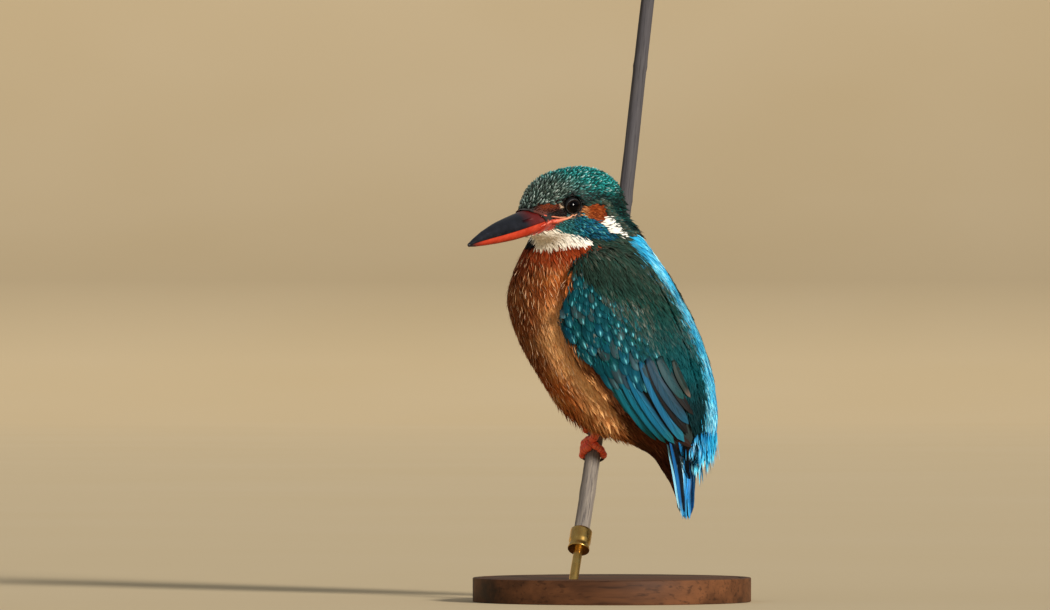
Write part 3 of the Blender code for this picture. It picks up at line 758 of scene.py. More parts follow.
eye_glass, lid_leather = dark_eye(), lid_skin()
eye_centres = []
for side, word in SIDE_NAMES.items():
    low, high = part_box("eye_" + word)
    centre, radius = (low + high) / 2, (high.z - low.z) / 2
    ahead = Vector((math.sin(EYE_LEAN), -side * math.cos(EYE_LEAN), 0.05))
    out = (head_axes.to_3x3() @ ahead).normalized()
    eye_centres.append(centre)
    select_only()
    bpy.ops.mesh.primitive_uv_sphere_add(segments=64, ring_count=40, radius=radius)
    eye = bpy.context.object
    bpy.ops.object.shade_smooth()
    per_point(eye.data, "Gaze", [v.co.z / radius for v in eye.data.vertices])
    lay_along(eye, centre, out)
    finished(eye, "eyeball_" + word, eye_glass, "eye_dark", "eye_" + word)

    select_only()
    bpy.ops.mesh.primitive_torus_add(
        major_radius=LID_WIDTH, minor_radius=LID_THICKNESS, major_segments=72, minor_segments=16
    )
    lid = bpy.context.object
    tall = head_axes.to_3x3() @ Vector((0, 0, 1))
    tall = (tall - out * tall.dot(out)).normalized()
    wide = tall.cross(out)
    pale = []
    for vertex in lid.data.vertices:
        flat = Vector((vertex.co.x, vertex.co.y))
        rise = flat.y / flat.length
        heavy = 1.0 + max(rise, 0) + 0.14 * math.sin(9 * math.atan2(flat.y, flat.x))
        ring = flat.normalized() * LID_WIDTH
        bulge = (flat - ring) * heavy
        spot = Vector((ring.x, ring.y * LID_HEIGHT)) + bulge
        seat = math.sqrt(max(radius**2 - spot.length_squared, 0))
        pale.append(max(0.0, -rise) ** 2 * 0.9)
        vertex.co = centre + wide * spot.x + tall * spot.y + out * (seat * 0.97 + vertex.co.z * heavy)
    bpy.ops.object.shade_smooth()
    per_point(lid.data, "Pale", pale)
    finished(lid, "lid_" + word, lid_leather, "plumage_head")


# ---- Bill ----------------------------------------------------------------------------------------
# A long straight dagger of horn in two halves. The upper is blue-black with a red-brown base round the
# slit of the nostril; the lower is orange-red with a dusky tip, as a female's is. A ridge runs along
# the top.

BILL_TURN, BILL_DIP = math.radians(55), math.radians(12.8)
CULMEN_BASE = Vector((24.9, 0.0, 1.7)) * MM
# Each station, in millimetres: distance ahead of the feathers on the ridge, height of the ridge, height
# of the edge where the halves meet, depth of the keel, and half width.
BILL_STATIONS = [
    (-9.5, 0.6, -2.4, -6.2, 7.4),
    (-4.4, 1.2, -2.7, -6.5, 6.5),
    (0.0, 1.2, -3.0, -6.7, 5.3),
    (8.8, 1.15, -3.2, -6.45, 4.0),
    (17.6, 0.75, -3.05, -5.65, 2.9),
    (25.4, -0.3, -2.8, -4.7, 1.9),
    (30.6, -1.5, -2.75, -3.9, 1.15),
    (34.3, -2.5, -2.85, -3.2, 0.45),
]
NOSTRIL_AT, NOSTRIL_HALF = 4.6, 2.3
BLUNT_FROM, BLUNT_LENGTH = 0.985, 0.015
bill_axes = axes_at(head_axes @ CULMEN_BASE, BILL_TURN, BILL_DIP)


def bill_at(share):
    """The bill's ridge, edge, keel and half width at a share of its length."""
    ahead = BILL_STATIONS[0][0] + (BILL_STATIONS[-1][0] - BILL_STATIONS[0][0]) * share
    return [ahead] + [float(smooth_line(ahead, column)) for column in range(1, 5)]


def smooth_line(ahead, column):
    """A smooth curve through one column of the stations."""
    rows = BILL_STATIONS
    i = max(k for k in range(len(rows) - 1) if rows[k][0] <= ahead + 1e-9)
    a, b = rows[max(i - 1, 0)], rows[i]
    c, d = rows[i + 1], rows[min(i + 2, len(rows) - 1)]
    t = (ahead - b[0]) / (c[0] - b[0])
    p, q, r, s = a[column], b[column], c[column], d[column]
    return 0.5 * (2 * q + (r - p) * t + (2 * p - 5 * q + 4 * r - s) * t**2 + (3 * q - p - 3 * r + s) * t**3)


def bill_half(sign):
    """Places for one half: sign is 1 for the upper. Its underside, where the halves meet, is flat."""

    def place(share, angle):
        ahead, top, edge, bottom, half = bill_at(share)
        tall = top - edge if sign > 0 else edge - bottom
        past = max(share - BLUNT_FROM, 0) / BLUNT_LENGTH
        closing = math.sqrt(max(1 - past**2, 0.05))
        across, rise = half * math.cos(angle) * closing, 0.0
        if math.sin(angle) > 0:
            rise = tall * math.sin(angle) ** (0.86 if sign > 0 else 0.8) * closing
            if sign > 0:
                dent = math.exp(-(((ahead - NOSTRIL_AT) / NOSTRIL_HALF) ** 4))
                level = math.exp(-(((rise - 1.75 - 0.05 * ahead) / 0.30) ** 2))
                groove = math.exp(-(((rise - 1.9) / 0.9) ** 2)) * (1 - ramp(ahead, 4, 24))
                across *= 1 - (0.26 * dent * level + 0.07 * groove)
                rise += 0.16 * math.sin(angle) ** 14
            else:
                rise += 0.12 * math.sin(angle) ** 10
        return bill_axes @ (Vector((ahead, across, edge + sign * (rise + 0.08))) * MM)

    return place


def upper_horn():
    made = Finish("upper_bill", Specular_IOR_Level=0.35, Coat_Weight=0.06, Coat_Roughness=0.3)
    scratch = made.noise(made.place((1, 1, 3)), 700, 4, 0.6)
    worn = made.noise(made.place(), 240, 3)
    dark = made.mix(made.spread(worn, 0.35, 0.7), "#07080e", "#10131d")
    dark = made.mix(made.spread(scratch, 0.62, 0.72, 0, 0.25), dark, "#33384a")
    red = made.spread(made.on_map("Horn", 1) + (worn - 0.5) * 0.12, 0.24, 0.37, 0.8, 0.0)
    colour = made.mix(red, dark, "#5a1512")
    return made.done(colour, made.spread(worn, 0.3, 0.7, 0.3, 0.45), scratch * 0.6 + worn, 0.18, 0.08)


def lower_horn():
    made = Finish("lower_bill", Specular_IOR_Level=0.4, Coat_Weight=0.08, Coat_Roughness=0.3)
    worn = made.noise(made.place(), 260, 3)
    streak = made.noise(made.place((1, 1, 2.5)), 900, 3)
    red = made.mix(made.spread(worn, 0.3, 0.7), "#9c2815", "#bd3c22")
    red = made.mix(made.spread(streak, 0.6, 0.75, 0, 0.3), red, "#cf6040")
    dusky = made.spread(made.on_map("Horn", 1) + (worn - 0.5) * 0.08, 0.84, 0.97)
    colour = made.mix(dusky, red, "#1d1216")
    return made.done(colour, made.spread(worn, 0.3, 0.7, 0.28, 0.44), streak, 0.15, 0.06)


bill_pieces = []
for word, sign, slot, horn_finish in (
    ("upper", 1, "bill_black", upper_horn()), ("lower", -1, "bill_orange", lower_horn())
):
    half = shaped_tube(56, 150, bill_half(sign), "Horn")
    bill_pieces.append(finished(half, f"bill_{word}_horn", horn_finish, slot, "bill_" + word))


# ---- Gape ----------------------------------------------------------------------------------------
# Soft red skin at the corner of the mouth, which runs back under the eye as a thin fleshy line and
# fades to buff where the feathers take over. A paler rim of skin edges the base of the upper bill from
# the nostril back.

# Points of each line in the head's axes, in millimetres: ahead, out to the side, up. Then each line's
# least and most radius.
GAPE_LINE = [(24.2, 4.8, -2.3), (20.6, 7.1, -1.8), (18.4, 8.0, -1.7), (15.2, 9.7, -1.4), (11.9, 11.9, -0.5)]
RIM_LINE = [(25.2, 1.6, 2.0), (23.8, 3.6, 1.5), (21.3, 6.2, 0.5), (17.6, 8.2, -0.6), (15.4, 9.4, -0.9)]
FLESH_LINES = [("gape", GAPE_LINE, 0.26, 0.78), ("bill_rim", RIM_LINE, 0.14, 0.30)]


def gape_skin():
    made = Finish("gape_skin", Specular_IOR_Level=0.5)
    wrinkle = made.noise(made.place(), 1500, 3)
    red = made.mix(made.spread(wrinkle, 0.35, 0.7), "#a82c1a", "#dc6a4c")
    colour = made.mix(made.spread(made.on_map("Gape", 1), 0.45, 1.0), red, "#d9a078")
    return made.done(colour, made.spread(wrinkle, 0.3, 0.7, 0.35, 0.6), wrinkle, 0.5, 0.08)


def surface_of(pieces):
    """A search tree over several pieces' surfaces."""
    corners, sides = [], []
    for piece in pieces:
        sides += [tuple(v + len(corners) for v in face.vertices) for face in piece.data.polygons]
        corners += [v.co.copy() for v in piece.data.vertices]
    return BVHTree.FromPolygons(corners, sides)


def through(points, share):
    """A place along a line of points."""
    k = min(int(share * (len(points) - 1)), len(points) - 2)
    t = share * (len(points) - 1) - k
    return Vector(points[k]).lerp(Vector(points[k + 1]), t)


face_surface = surface_of([skin] + bill_pieces)
gape_flesh = gape_skin()
for side, word in SIDE_NAMES.items():
    for line_name, line, thin, thick in FLESH_LINES:

        def flesh_path(share):
            ahead, left, up = through(line, share)
            spot = head_axes @ (Vector((ahead, -side * left, up)) * MM)
            hit, normal, _, _ = face_surface.find_nearest(spot)
            return hit + normal * 0.3 * MM

        def flesh_radius(share):
            swell = math.exp(-(((share - 0.42) / 0.24) ** 2))
            ends = math.sqrt(max(1 - abs(2 * share - 1) ** 8, 0.03))
            return (thin + (thick - thin) * swell) * ends * MM

        flesh = round_tube(14, 60, flesh_path, flesh_radius, uv_name="Gape")
        finished(flesh, f"{line_name}_{word}", gape_flesh, "bill_orange")


# ---- The coat's making ---------------------------------------------------------------------------
# Every feather is a thin closed vane that starts at a root on the skin and runs along it with the lie
# of the coat, its tip over the roots of the next. Tracts of feathers are joined into one piece each.

POOL = 560_000
PATCH = 0.003
rng = np.random.default_rng(11)
skin_tree = surface_of([skin])
skin_faces = [tuple(face.vertices) for face in skin.data.polygons]
skin_normals = numbers(skin.data, "vertex_normals", "vector", 3).astype(float)
skin_points = numbers(skin.data, "vertices", "co", 3).astype(float)
skin.data.calc_loop_triangles()
corners = numbers(skin.data, "loop_triangles", "vertices", 3).astype(int)
face_ups = [Vector(skin_normals[list(face)].mean(0)).normalized() for face in skin_faces]
edge_one = skin_points[corners[:, 1]] - skin_points[corners[:, 0]]
edge_two = skin_points[corners[:, 2]] - skin_points[corners[:, 0]]
areas = np.linalg.norm(np.cross(edge_one, edge_two), axis=1)
picked = rng.choice(len(corners), POOL, p=areas / areas.sum())
one, two = rng.random(POOL), rng.random(POOL)
over = one + two > 1
one[over], two[over] = 1 - one[over], 1 - two[over]
pool = skin_points[corners[picked, 0]] + edge_one[picked] * one[:, None] + edge_two[picked] * two[:, None]
pool_ups = skin_normals[corners[picked]].mean(1)
pool_ups /= np.linalg.norm(pool_ups, axis=1)[:, None]


def clouds(points, size, seed):
    """A smooth random field from -1 to 1 with blots about size across, in millimetres."""
    maker = np.random.default_rng(seed)
    total = np.zeros(len(points))
    for _ in range(7):
        way = maker.normal(0, 1, 3)
        way *= 2 * math.pi / (size * MM * (0.7 + 0.8 * maker.random()) * np.linalg.norm(way) * 2)
        total += np.sin(points @ way + maker.random() * 7)
    return np.clip(total / 3.2, -1, 1)


def spaced(chosen, spacing):
    """Roots from the pool, none nearer to another than spacing, in millimetres."""
    reach = spacing * MM
    cells, kept = {}, []
    keys = np.floor(pool[chosen] / reach).astype(int)
    steps = [(i, j, k) for i in (-1, 0, 1) for j in (-1, 0, 1) for k in (-1, 0, 1)]
    for index, (a, b, c), (x, y, z) in zip(chosen, keys.tolist(), pool[chosen].tolist()):
        others = (spot for i, j, k in steps for spot in cells.get((a + i, b + j, c + k), ()))
        if all((x - ox) ** 2 + (y - oy) ** 2 + (z - oz) ** 2 >= reach**2 for ox, oy, oz in others):
            cells.setdefault((a, b, c), []).append((x, y, z))
            kept.append(index)
    return np.array(kept)


def lie_of(points, ups):
    """The way the coat lies at each place: back over the head, then down and back over the body."""
    at_head, at_body = within(head_axes, points), within(body_axes, points)
    head_turn, body_turn = np.array(head_axes.to_3x3()), np.array(body_axes.to_3x3())
    sink = 0.15 + 0.75 * ramp(-at_head[:, 2], -4, 10)
    out = np.sign(at_head[:, 1]) * 0.12
    over_head = np.stack([-np.ones(len(points)), out, -sink], 1) @ head_turn.T
    back = 0.42 + 0.45 * ramp(-at_body[:, 2], -78, -58) * ramp(-at_body[:, 0], -16, 4)
    over_body = np.stack([back, np.zeros(len(points)), -np.full(len(points), 0.91)], 1) @ body_turn.T
    share = eased(points[:, 2] / MM, 113, 123)[:, None]
    way = over_head * share + over_body * (1 - share)
    way -= ups * (way * ups).sum(1)[:, None]
    return way / np.linalg.norm(way, axis=1)[:, None]


def along_skin(roots, ways, lengths, steps):
    """Paths of equal steps over the skin, which turn only as the skin does."""
    paths = np.empty((len(roots), steps + 1, 3))
    ups = np.empty_like(paths)
    for i, (root, way, length) in enumerate(zip(roots, ways, lengths)):
        place, heading = Vector(root), Vector(way)
        for k in range(steps + 1):
            if k:
                place = place + heading * (length / steps)
            place, _, face, _ = skin_tree.find_nearest(place)
            up = face_ups[face]
            heading = (heading - up * heading.dot(up)).normalized()
            paths[i, k], ups[i, k] = place, up
    return paths, ups


# A vane shows at its middle and tip, so a place ahead of its root along the coat tells what it shows.
seen_ahead = (1.0 + 1.9 * (1 - eased(pool[:, 2] / MM, 114, 122))) * MM
pool_seen = pool + lie_of(pool, pool_ups) * seen_ahead[:, None]
pool_tract = tract_of(pool_seen, 2)
pool_head, pool_body = within(head_axes, pool_seen), within(body_axes, pool_seen)

ROOF = [(-1.0, 0.0), (0.0, 1.0), (1.0, 0.0)]


def blade(t, tip, root):
    """Relative half width along a vane: narrow at the root, full in the middle, rounded or pointed off."""
    rising = root + (1 - root) * np.sin(np.clip(t / 0.45, 0, 1) * math.pi / 2)
    return rising * (1 - np.clip((t - 0.45) / 0.55, 0, 1) ** (1 / tip)) ** tip


def grow(name, paths, ups, half_widths, heights, tints, ridge, roll, shape, seats,
         section=ROOF, patch=PATCH):
    """One mesh of closed vanes. paths and ups are (vane, ring, 3), and the last ring is the tip; heights
    are above the skin. tints are (vane, ring, across, 3). seats give each vane's place on the coat's map,
    from 0 to 1."""
    count, rings = paths.shape[0], paths.shape[1] - 1
    across = len(section)
    shares = np.arange(rings + 1) / rings
    heading = np.gradient(paths, axis=1)
    heading /= np.linalg.norm(heading, axis=2)[..., None] + 1e-12
    side = np.cross(ups, heading)
    side /= np.linalg.norm(side, axis=2)[..., None] + 1e-12
    side = side * np.cos(roll)[:, None, None] + ups * np.sin(roll)[:, None, None]
    above = np.cross(heading, side)
    middle = paths + ups * heights[..., None]
    width = half_widths[:, None] * shape[None, :]
    rise = (ridge * half_widths)[:, None, None, None]
    slots = np.array(section)
    spread = slots[:, 0][None, None, :, None] * width[:, :, None, None] * side[:, :, None, :]
    crown = slots[:, 1][None, None, :, None] * rise * above[:, :, None, :]
    bodies = (middle[:, :, None, :] + spread + crown)[:, :rings].reshape(count, rings * across, 3)
    points = np.concatenate([bodies, middle[:, rings:]], 1)
    size = rings * across + 1
    faces = []
    for k in range(rings - 1):
        for j in range(across):
            a, b = k * across + j, k * across + (j + 1) % across
            faces.append((a, b, b + across, a + across))
    last = (rings - 1) * across
    for j in range(across):
        faces.append((last + j, last + (j + 1) % across, size - 1))
    faces.append(tuple(range(across))[::-1])
    counts = np.array([len(face) for face in faces])
    flat = np.concatenate([np.array(face) for face in faces])
    mesh = bpy.data.meshes.new(name)
    mesh.vertices.add(count * size)
    mesh.vertices.foreach_set("co", points.astype(np.float32).ravel())
    loops = (flat[None, :] + (np.arange(count) * size)[:, None]).ravel()
    mesh.loops.add(len(loops))
    mesh.loops.foreach_set("vertex_index", loops.astype(np.int32))
    starts = np.concatenate([[0], np.cumsum(np.tile(counts, count))[:-1]])
    mesh.polygons.add(len(starts))
    mesh.polygons.foreach_set("loop_start", starts.astype(np.int32))
    mesh.update(calc_edges=True)
    mesh.shade_smooth()
    edges = numbers(mesh, "edges", "vertices", 2).astype(int)
    column = np.concatenate([np.tile(np.arange(across), rings), [-1]])
    ends = column[edges % size]
    rim = (ends == 0) | (ends == across - 1) | (ends == -1)
    sharp = rim.all(1) & ((ends[:, 0] == ends[:, 1]) | (ends == -1).any(1))
    mesh.attributes.new("sharp_edge", "BOOLEAN", "EDGE").data.foreach_set("value", sharp)
    local_u = np.concatenate([np.tile((slots[:, 0] + 1) / 2, rings), [0.5]])
    local_v = np.concatenate([np.repeat(shares[:rings], across), [1.0]])
    vane_corners = np.stack([local_u, local_v], 1)[flat]
    vane = mesh.uv_layers.new(name="Vane")
    vane.data.foreach_set("uv", np.tile(vane_corners, (count, 1)).astype(np.float32).ravel())
    on_map = seats[:, None, :] + (vane_corners[None] - 0.5) * patch
    bake = mesh.uv_layers.new(name="OFBake")
    bake.data.foreach_set("uv", on_map.astype(np.float32).ravel())
    colours = np.broadcast_to(tints, (count, rings + 1, across, 3))
    rows = colours[:, :rings].reshape(count, rings * across, 3)
    colours = np.concatenate([rows, colours[:, rings:, across // 2]], 1)
    own = np.broadcast_to(np.random.default_rng(count).random(count)[:, None, None], (count, size, 1))
    tinted(mesh, np.concatenate([colours, own], 2).reshape(-1, 4))
    piece = bpy.data.objects.new(name, mesh)
    bpy.context.scene.collection.objects.link(piece)
    return piece


def seated(places):
    """Places on an unrolled skin, fitted into the coat's map."""
    low, high = places.min(0), places.max(0)
    return 0.01 + 0.98 * (places - low) / (high - low)


def unrolled(axes, from_back=False):
    """Unrolls the skin round an upright axis: degrees round, and height."""

    def unroll(points):
        local = within(axes, points)
        middle = 0.3 * (110 - local[:, 2]) if axes is body_axes else 0
        angle = np.arctan2(local[:, 1], local[:, 0] - middle)
        return np.stack([(angle + (math.pi if from_back else 0)) % (2 * math.pi), local[:, 2]], 1)

    return unroll


def dome(points):
    """Lays the crown flat from its top: how far down a place is, and the way round."""
    local = within(head_axes, points)
    down = np.arccos(np.clip(local[:, 2] / np.linalg.norm(local, axis=1), -1, 1))
    turn = np.arctan2(local[:, 1], local[:, 0])
    return np.stack([down * np.cos(turn), down * np.sin(turn)], 1)


def rgb(code):
    return np.array(paint(code)[:3])


def one_of(count, choices, seed, lean=None):
    """A random colour for each vane out of (code, weight) choices. A lean of 1 favours the last of them,
    and one of -1 the first."""
    maker = np.random.default_rng(seed)
    colours = np.array([rgb(code) for code, _ in choices])
    weights = np.cumsum([weight for _, weight in choices], dtype=float)
    draw = maker.random(count)
    if lean is not None:
        draw = np.clip(draw * 0.6 + 0.2 + 0.35 * lean, 0, 0.999)
    chosen = colours[np.searchsorted(weights / weights[-1], draw)]
    return chosen * (0.92 + 0.16 * maker.random((count, 1)))


def toward(colours, code, share):
    """Colours moved towards one colour by a share of their own each."""
    return colours + (rgb(code) - colours) * np.asarray(share).reshape(-1, 1)


def three(count, seed, low, middle, tip, lean=None):
    """Random colours for the roots, middles and tips of vanes, each out of (code, weight) choices."""
    roots = one_of(count, low, seed)
    return [roots, one_of(count, middle, seed + 1, lean), one_of(count, tip, seed + 2, lean)]


def stops(low, middle, tip, rings, at=0.5):
    """Colours along each vane, through three stops, as grow() takes them."""
    t = np.arange(rings + 1) / rings
    first = np.clip(t / at, 0, 1)[None, :, None]
    second = np.clip((t - at) / (1 - at), 0, 1)[None, :, None]
    low, middle, tip = (colours[:, None, :] for colours in (low, middle, tip))
    return (low + (middle - low) * first + (tip - middle) * second)[:, :, None, :]


def barbed(name, depth, oblique=0.0, barbs=1.6, streaks=5, **fixed):
    """A feather finish: the vane's own colour, streaked along its barbs, which lean out from the shaft."""
    made = Finish(name, **fixed)
    own = made.stored("Tint", "Alpha")
    across, along = made.on_map("Vane", 0), made.on_map("Vane", 1)
    from_shaft = made.node("Math", {"operation": "ABSOLUTE"}, {0: across - 0.5})
    barb = (along - from_shaft * oblique) * barbs
    hair = made.noise(made.node("CombineXYZ", {}, {0: across * streaks, 1: barb, 2: own * 40}), 1.0, 2, 0.6)
    shade = made.spread(hair, 0.3, 0.7, 1 - depth, 1 + depth * 0.7)
    return made.done(made.shaded(made.stored("Tint", "Color"), shade), None, hair, 0.4, 0.06)


def sized(size, points, maker):
    """A size for each root. size is (least, most), or a function that gives the middle value at a place."""
    if callable(size):
        return size(points) * (0.85 + 0.3 * maker.random(len(points)))
    low, high = size
    return low + (high - low) * maker.random(len(points))


def clothe(name, chosen, spacing, length, width, lift, colours, finish, slot, unroll, seed, rings=3,
           jitter=0.12, roll=0.3, ridge=0.22, tip=0.5, flare=None, root=0.35, at=0.5):
    """Covers part of the skin with one tract of vanes. Sizes, in millimetres, are as sized() takes them."""
    maker = np.random.default_rng(seed)
    roots = spaced(chosen, spacing)
    count = len(roots)
    points, ups = pool[roots], pool_ups[roots]
    ways = lie_of(points, ups)
    turn = maker.normal(0, jitter, count)[:, None]
    ways = ways * np.cos(turn) + np.cross(ups, ways) * np.sin(turn)
    lengths = sized(length, points, maker) * MM
    paths, tops = along_skin(points, ways, lengths, rings)
    half_widths = sized(width, points, maker) * MM / 2
    lifts = sized(lift, points, maker) * MM
    t = np.arange(rings + 1) / rings
    heights = lifts[:, None] * (0.1 + 0.9 * t[None, :] ** 0.7)
    if flare is not None:
        most = flare(points) if callable(flare) else flare
        heights = heights + (most * MM * maker.random(count) ** 2)[:, None] * t[None, :] ** 2
    tints = stops(*colours(roots), rings, at)
    rolls = maker.normal(0, roll, count)
    shape, seats = blade(t, tip, root), seated(unroll(points))
    piece = grow(name, paths, tops, half_widths, heights, tints, ridge, rolls, shape, seats)
    finished(piece, name, finish, slot)


def tract(*names):
    return np.flatnonzero(np.isin(pool_tract, [CODE[name] for name in names]))


soft = barbed("soft_feather", 0.26, Roughness=0.75, Specular_IOR_Level=0.08)
silky = barbed("silky_feather", 0.36, Roughness=0.65, Specular_IOR_Level=0.07)
glossy = barbed("glossy_feather", 0.35, Roughness=0.5, Specular_IOR_Level=0.12)


# ---- Breast and belly ----------------------------------------------------------------------------
# Dense soft plumage, deep chestnut under the throat, orange down the breast and golden beside the wing.
# Broad tufts make its body, and fine loose barbs lie over them and stand off along its edges.

BREAST = [("#9c4a20", 3), ("#ac5824", 4), ("#bc6730", 4), ("#ca7a40", 3), ("#d89250", 1)]
BREAST_TIPS = [("#a8551f", 3), ("#b9692e", 3), ("#c9863f", 2), ("#e0aa72", 0.4)]
# The golden band's rear edge beside the wing: height, and distance back. Behind it the flank is in the
# wing's shade.
GOLD_EDGE = [(130, 2), (117.3, 0.5), (104, -7.6), (96, -10.8), (90, -11.5), (86.5, -11.7),
             (81.9, -9.4), (77.4, -6.4), (73.5, -1.2), (69.5, 2.2), (65.2, 3.8), (60.7, 5.8),
             (55.2, 7.1), (50, 8), (30, 9)]


def breast_colours(roots):
    body = pool_body[roots]
    x, z = body[:, 0], body[:, 2]
    chestnut = eased(z, 105, 113)
    ahead_of_edge = on_line(GOLD_EDGE, z) - x
    golden = np.exp(-(((ahead_of_edge - 4) / 5.5) ** 2)) * ramp(-z, -105, -88) * ramp(z, 53, 60)
    shaded = ramp(-ahead_of_edge, -0.2, 2.0) * ramp(-z, -86, -77)
    vent = ramp(-z, -56, -49) * ramp(x, 0, 10)
    # The breast's front edge is painted darker brown: painted shade on the side turned away from the key
    # light.
    front = ramp(-x, 15, 23) * ramp(-z, -118, -108) * ramp(z, 62, 76)
    lean = clouds(pool[roots], 6, 21)
    made = three(len(roots), 31, [("#8a4119", 1), ("#96481c", 1)], BREAST, BREAST_TIPS, lean)
    reds, golds = ("#6a220e", "#8e3214", "#9c3a1a"), ("#d48a50", "#f2ae68", "#fbca8e")
    for colours, red, gold in zip(made, reds, golds):
        for code, share in ((gold, golden), (red, 0.9 * chestnut), ("#63341c", 0.7 * front),
                            ("#4c2210", 0.75 * vent), ("#36160a", 0.85 * shaded)):
            colours[:] = toward(colours, code, share)
    return made


def belly_flare(points):
    body = within(body_axes, points)
    return 0.2 + 3.0 * np.exp(-(((body[:, 2] - 61) / 8) ** 2)) * ramp(-body[:, 0], -12, 0)


def in_breast(low, high):
    chosen = tract("breast")
    return chosen[(pool_body[chosen][:, 2] > low) & (pool_body[chosen][:, 2] <= high)]


round_body, round_face = unrolled(body_axes), unrolled(head_axes, True)
breast_coat = (breast_colours, soft, "plumage_orange", round_body)
clothe("feathers_breast", in_breast(0, 130), 1.0, (4.6, 6.4), (0.9, 1.4), (0.45, 0.75), *breast_coat,
       seed=41, flare=belly_flare, ridge=0.12)
for word, low, high, seed in (("upper", 86, 130, 42), ("lower", 0, 86, 43)):
    clothe(f"feathers_breast_{word}_barbs", in_breast(low, high), 0.54, (3.6, 5.8), (0.24, 0.38),
           (0.6, 0.85), *breast_coat, seed=seed, flare=belly_flare, jitter=0.14)


# Pale buff hairs over the breast's front: their pale colour is a painted highlight on the loose breast
# hairs.
def highlight_hair(roots):
    middle, tip = [("#c98c58", 2), ("#d9a878", 1)], [("#e8c298", 2), ("#f2dcc0", 1)]
    return three(len(roots), 44, [("#8a4a22", 1)], middle, tip)


front = in_breast(64, 114)
front = front[pool_body[front][:, 0] < -6]
clothe("feathers_breast_hair", front, 1.5, (3.0, 5.0), (0.12, 0.2), (0.9, 1.3), highlight_hair, soft,
       "plumage_orange", round_body, seed=47, flare=0.8, jitter=0.25, roll=0.5)


# ---- Throat and collar ---------------------------------------------------------------------------
# A white bib under the bill and a white patch on each side of the neck, of fine silky feathers. The bib is
# painted buff near the chin and along its lower edge, as painted shadow of the bill and shade under the
# throat.


def white_colours(roots):
    at = pool_head[roots]
    degrees, up = round_head(at), at[:, 2]
    # The bib is painted buff towards the chin and along its lower edge: painted shadow of the bill, and
    # painted shade under the throat.
    bib_shade = (1 - ramp(degrees, 18, 44)) * ramp(degrees, -1, 1) * 0.8 + 0.5 * ramp(-up, 9.5, 12.5)
    made = three(len(roots), 51, [("#ece4d4", 1), ("#f2ecdf", 1)], [("#faf6ee", 4), ("#f3ecdf", 1)],
                 [("#fffdf8", 4), ("#faf4e8", 1)])
    bib_shade_tints = ("#b39a70", "#dcc8a2", "#ecdfc2")
    return [toward(colours, code, bib_shade * 0.45) for colours, code in zip(made, bib_shade_tints)]


downy_white = barbed("white_feather", 0.12, Roughness=0.8, Specular_IOR_Level=0.1)
white_coat = (white_colours, downy_white, "plumage_head", round_face)
clothe("feathers_throat", tract("throat"), 0.42, (2.2, 3.4), (0.34, 0.55), (0.35, 0.5), *white_coat,
       seed=54, roll=0.14, ridge=0.1, flare=0.12)
clothe("feathers_collar", tract("collar"), 0.42, (1.6, 2.6), (0.36, 0.6), (0.9, 1.3), *white_coat,
       seed=56, flare=0.3)


# ---- Face ----------------------------------------------------------------------------------------
# The smallest feathers: chestnut lores over a black stripe, a dark ring round the eye, an orange ear
# patch, and the blue-green moustache that runs from the bill back over the side of the neck.

# Each tract of the face: the colour of its roots, then (colour, weight) choices for vanes and for tips.
FACE = {
    "lores": ("#120604", [("#230c06", 3), ("#42180a", 1)],
              [("#301009", 3), ("#1f0a06", 2), ("#6e2e14", 1)]),
    "stripe": ("#080606", [("#120c0b", 3), ("#241410", 1)], [("#1b1210", 3), ("#3a1a12", 1)]),
    "pale_spot": ("#5a4634", [("#a88c70", 1)], [("#cdb59a", 1)]),
    "eye_rim": ("#060404", [("#0c0908", 3), ("#1a100a", 1)], [("#130e0b", 3), ("#30190d", 1)]),
    "ear": ("#3c160a", [("#6a2a0e", 3), ("#7a3510", 3)],
            [("#8a3c12", 3), ("#ae5e2e", 1.6), ("#54200c", 1.4)]),
    "malar": ("#040e12", [("#0b3e4a", 3), ("#105870", 2), ("#051a20", 4)],
              [("#1b8298", 3), ("#0c4656", 4), ("#74ccd4", 1.4), ("#1f74ae", 1.4), ("#06222a", 2)]),
    # far_shade: near-black feathers low on the far side of the neck, painted shadow.
    "far_shade": ("#050608", [("#0b1016", 3), ("#111c26", 1)], [("#10171f", 3), ("#1a2a34", 1)]),
}


def face_colours(roots):
    count, kind = len(roots), pool_tract[roots]
    degrees, up = round_head(pool_head[roots]), pool_head[roots][:, 2]
    low, middle, tip = np.empty((count, 3)), np.empty((count, 3)), np.empty((count, 3))
    for i, (name, (deep, mids, tips)) in enumerate(FACE.items()):
        mine = kind == CODE[name]
        n = int(mine.sum())
        low[mine] = rgb(deep)
        middle[mine] = one_of(n, mids, 61 + i)
        tip[mine] = one_of(n, tips, 71 + i)
    ear, malar = kind == CODE["ear"], kind == CODE["malar"]
    buff = ear * (1 - ramp(degrees, 50, 60)) * 0.75
    dark = ear * ramp(degrees, 78, 86) * ramp(-up, 1.0, 2.6) * 0.85
    grey = malar * (1 - ramp(degrees, 24, 46)) * 0.6
    deep = malar * np.clip(ramp(degrees, 74, 90) + ramp(-up, 7.5, 10.5), 0, 1) * 0.5
    line_height = np.interp(degrees, (18, 34, 41, 52), (-1.9, -1.3, -1.0, 0.1))
    line = malar * np.exp(-(((up - line_height) / 0.45) ** 2))
    lores = (kind == CODE["lores"]) * ramp(up, 2.0, 3.4)
    rufous = lores * ramp(degrees, 10, 15) * (1 - ramp(degrees, 22, 26))
    buff = np.clip(buff + line * ramp(degrees, 26, 34), 0, 0.85)
    for colours, pale in ((middle, "#c98a52"), (tip, "#dba672")):
        for code, share in (("#9a4416", 0.6 * rufous), (pale, buff), ("#54190c", dark), ("#3a7468", grey),
                            ("#0b2c34", deep)):
            colours[:] = toward(colours, code, share)
    return low, middle, tip


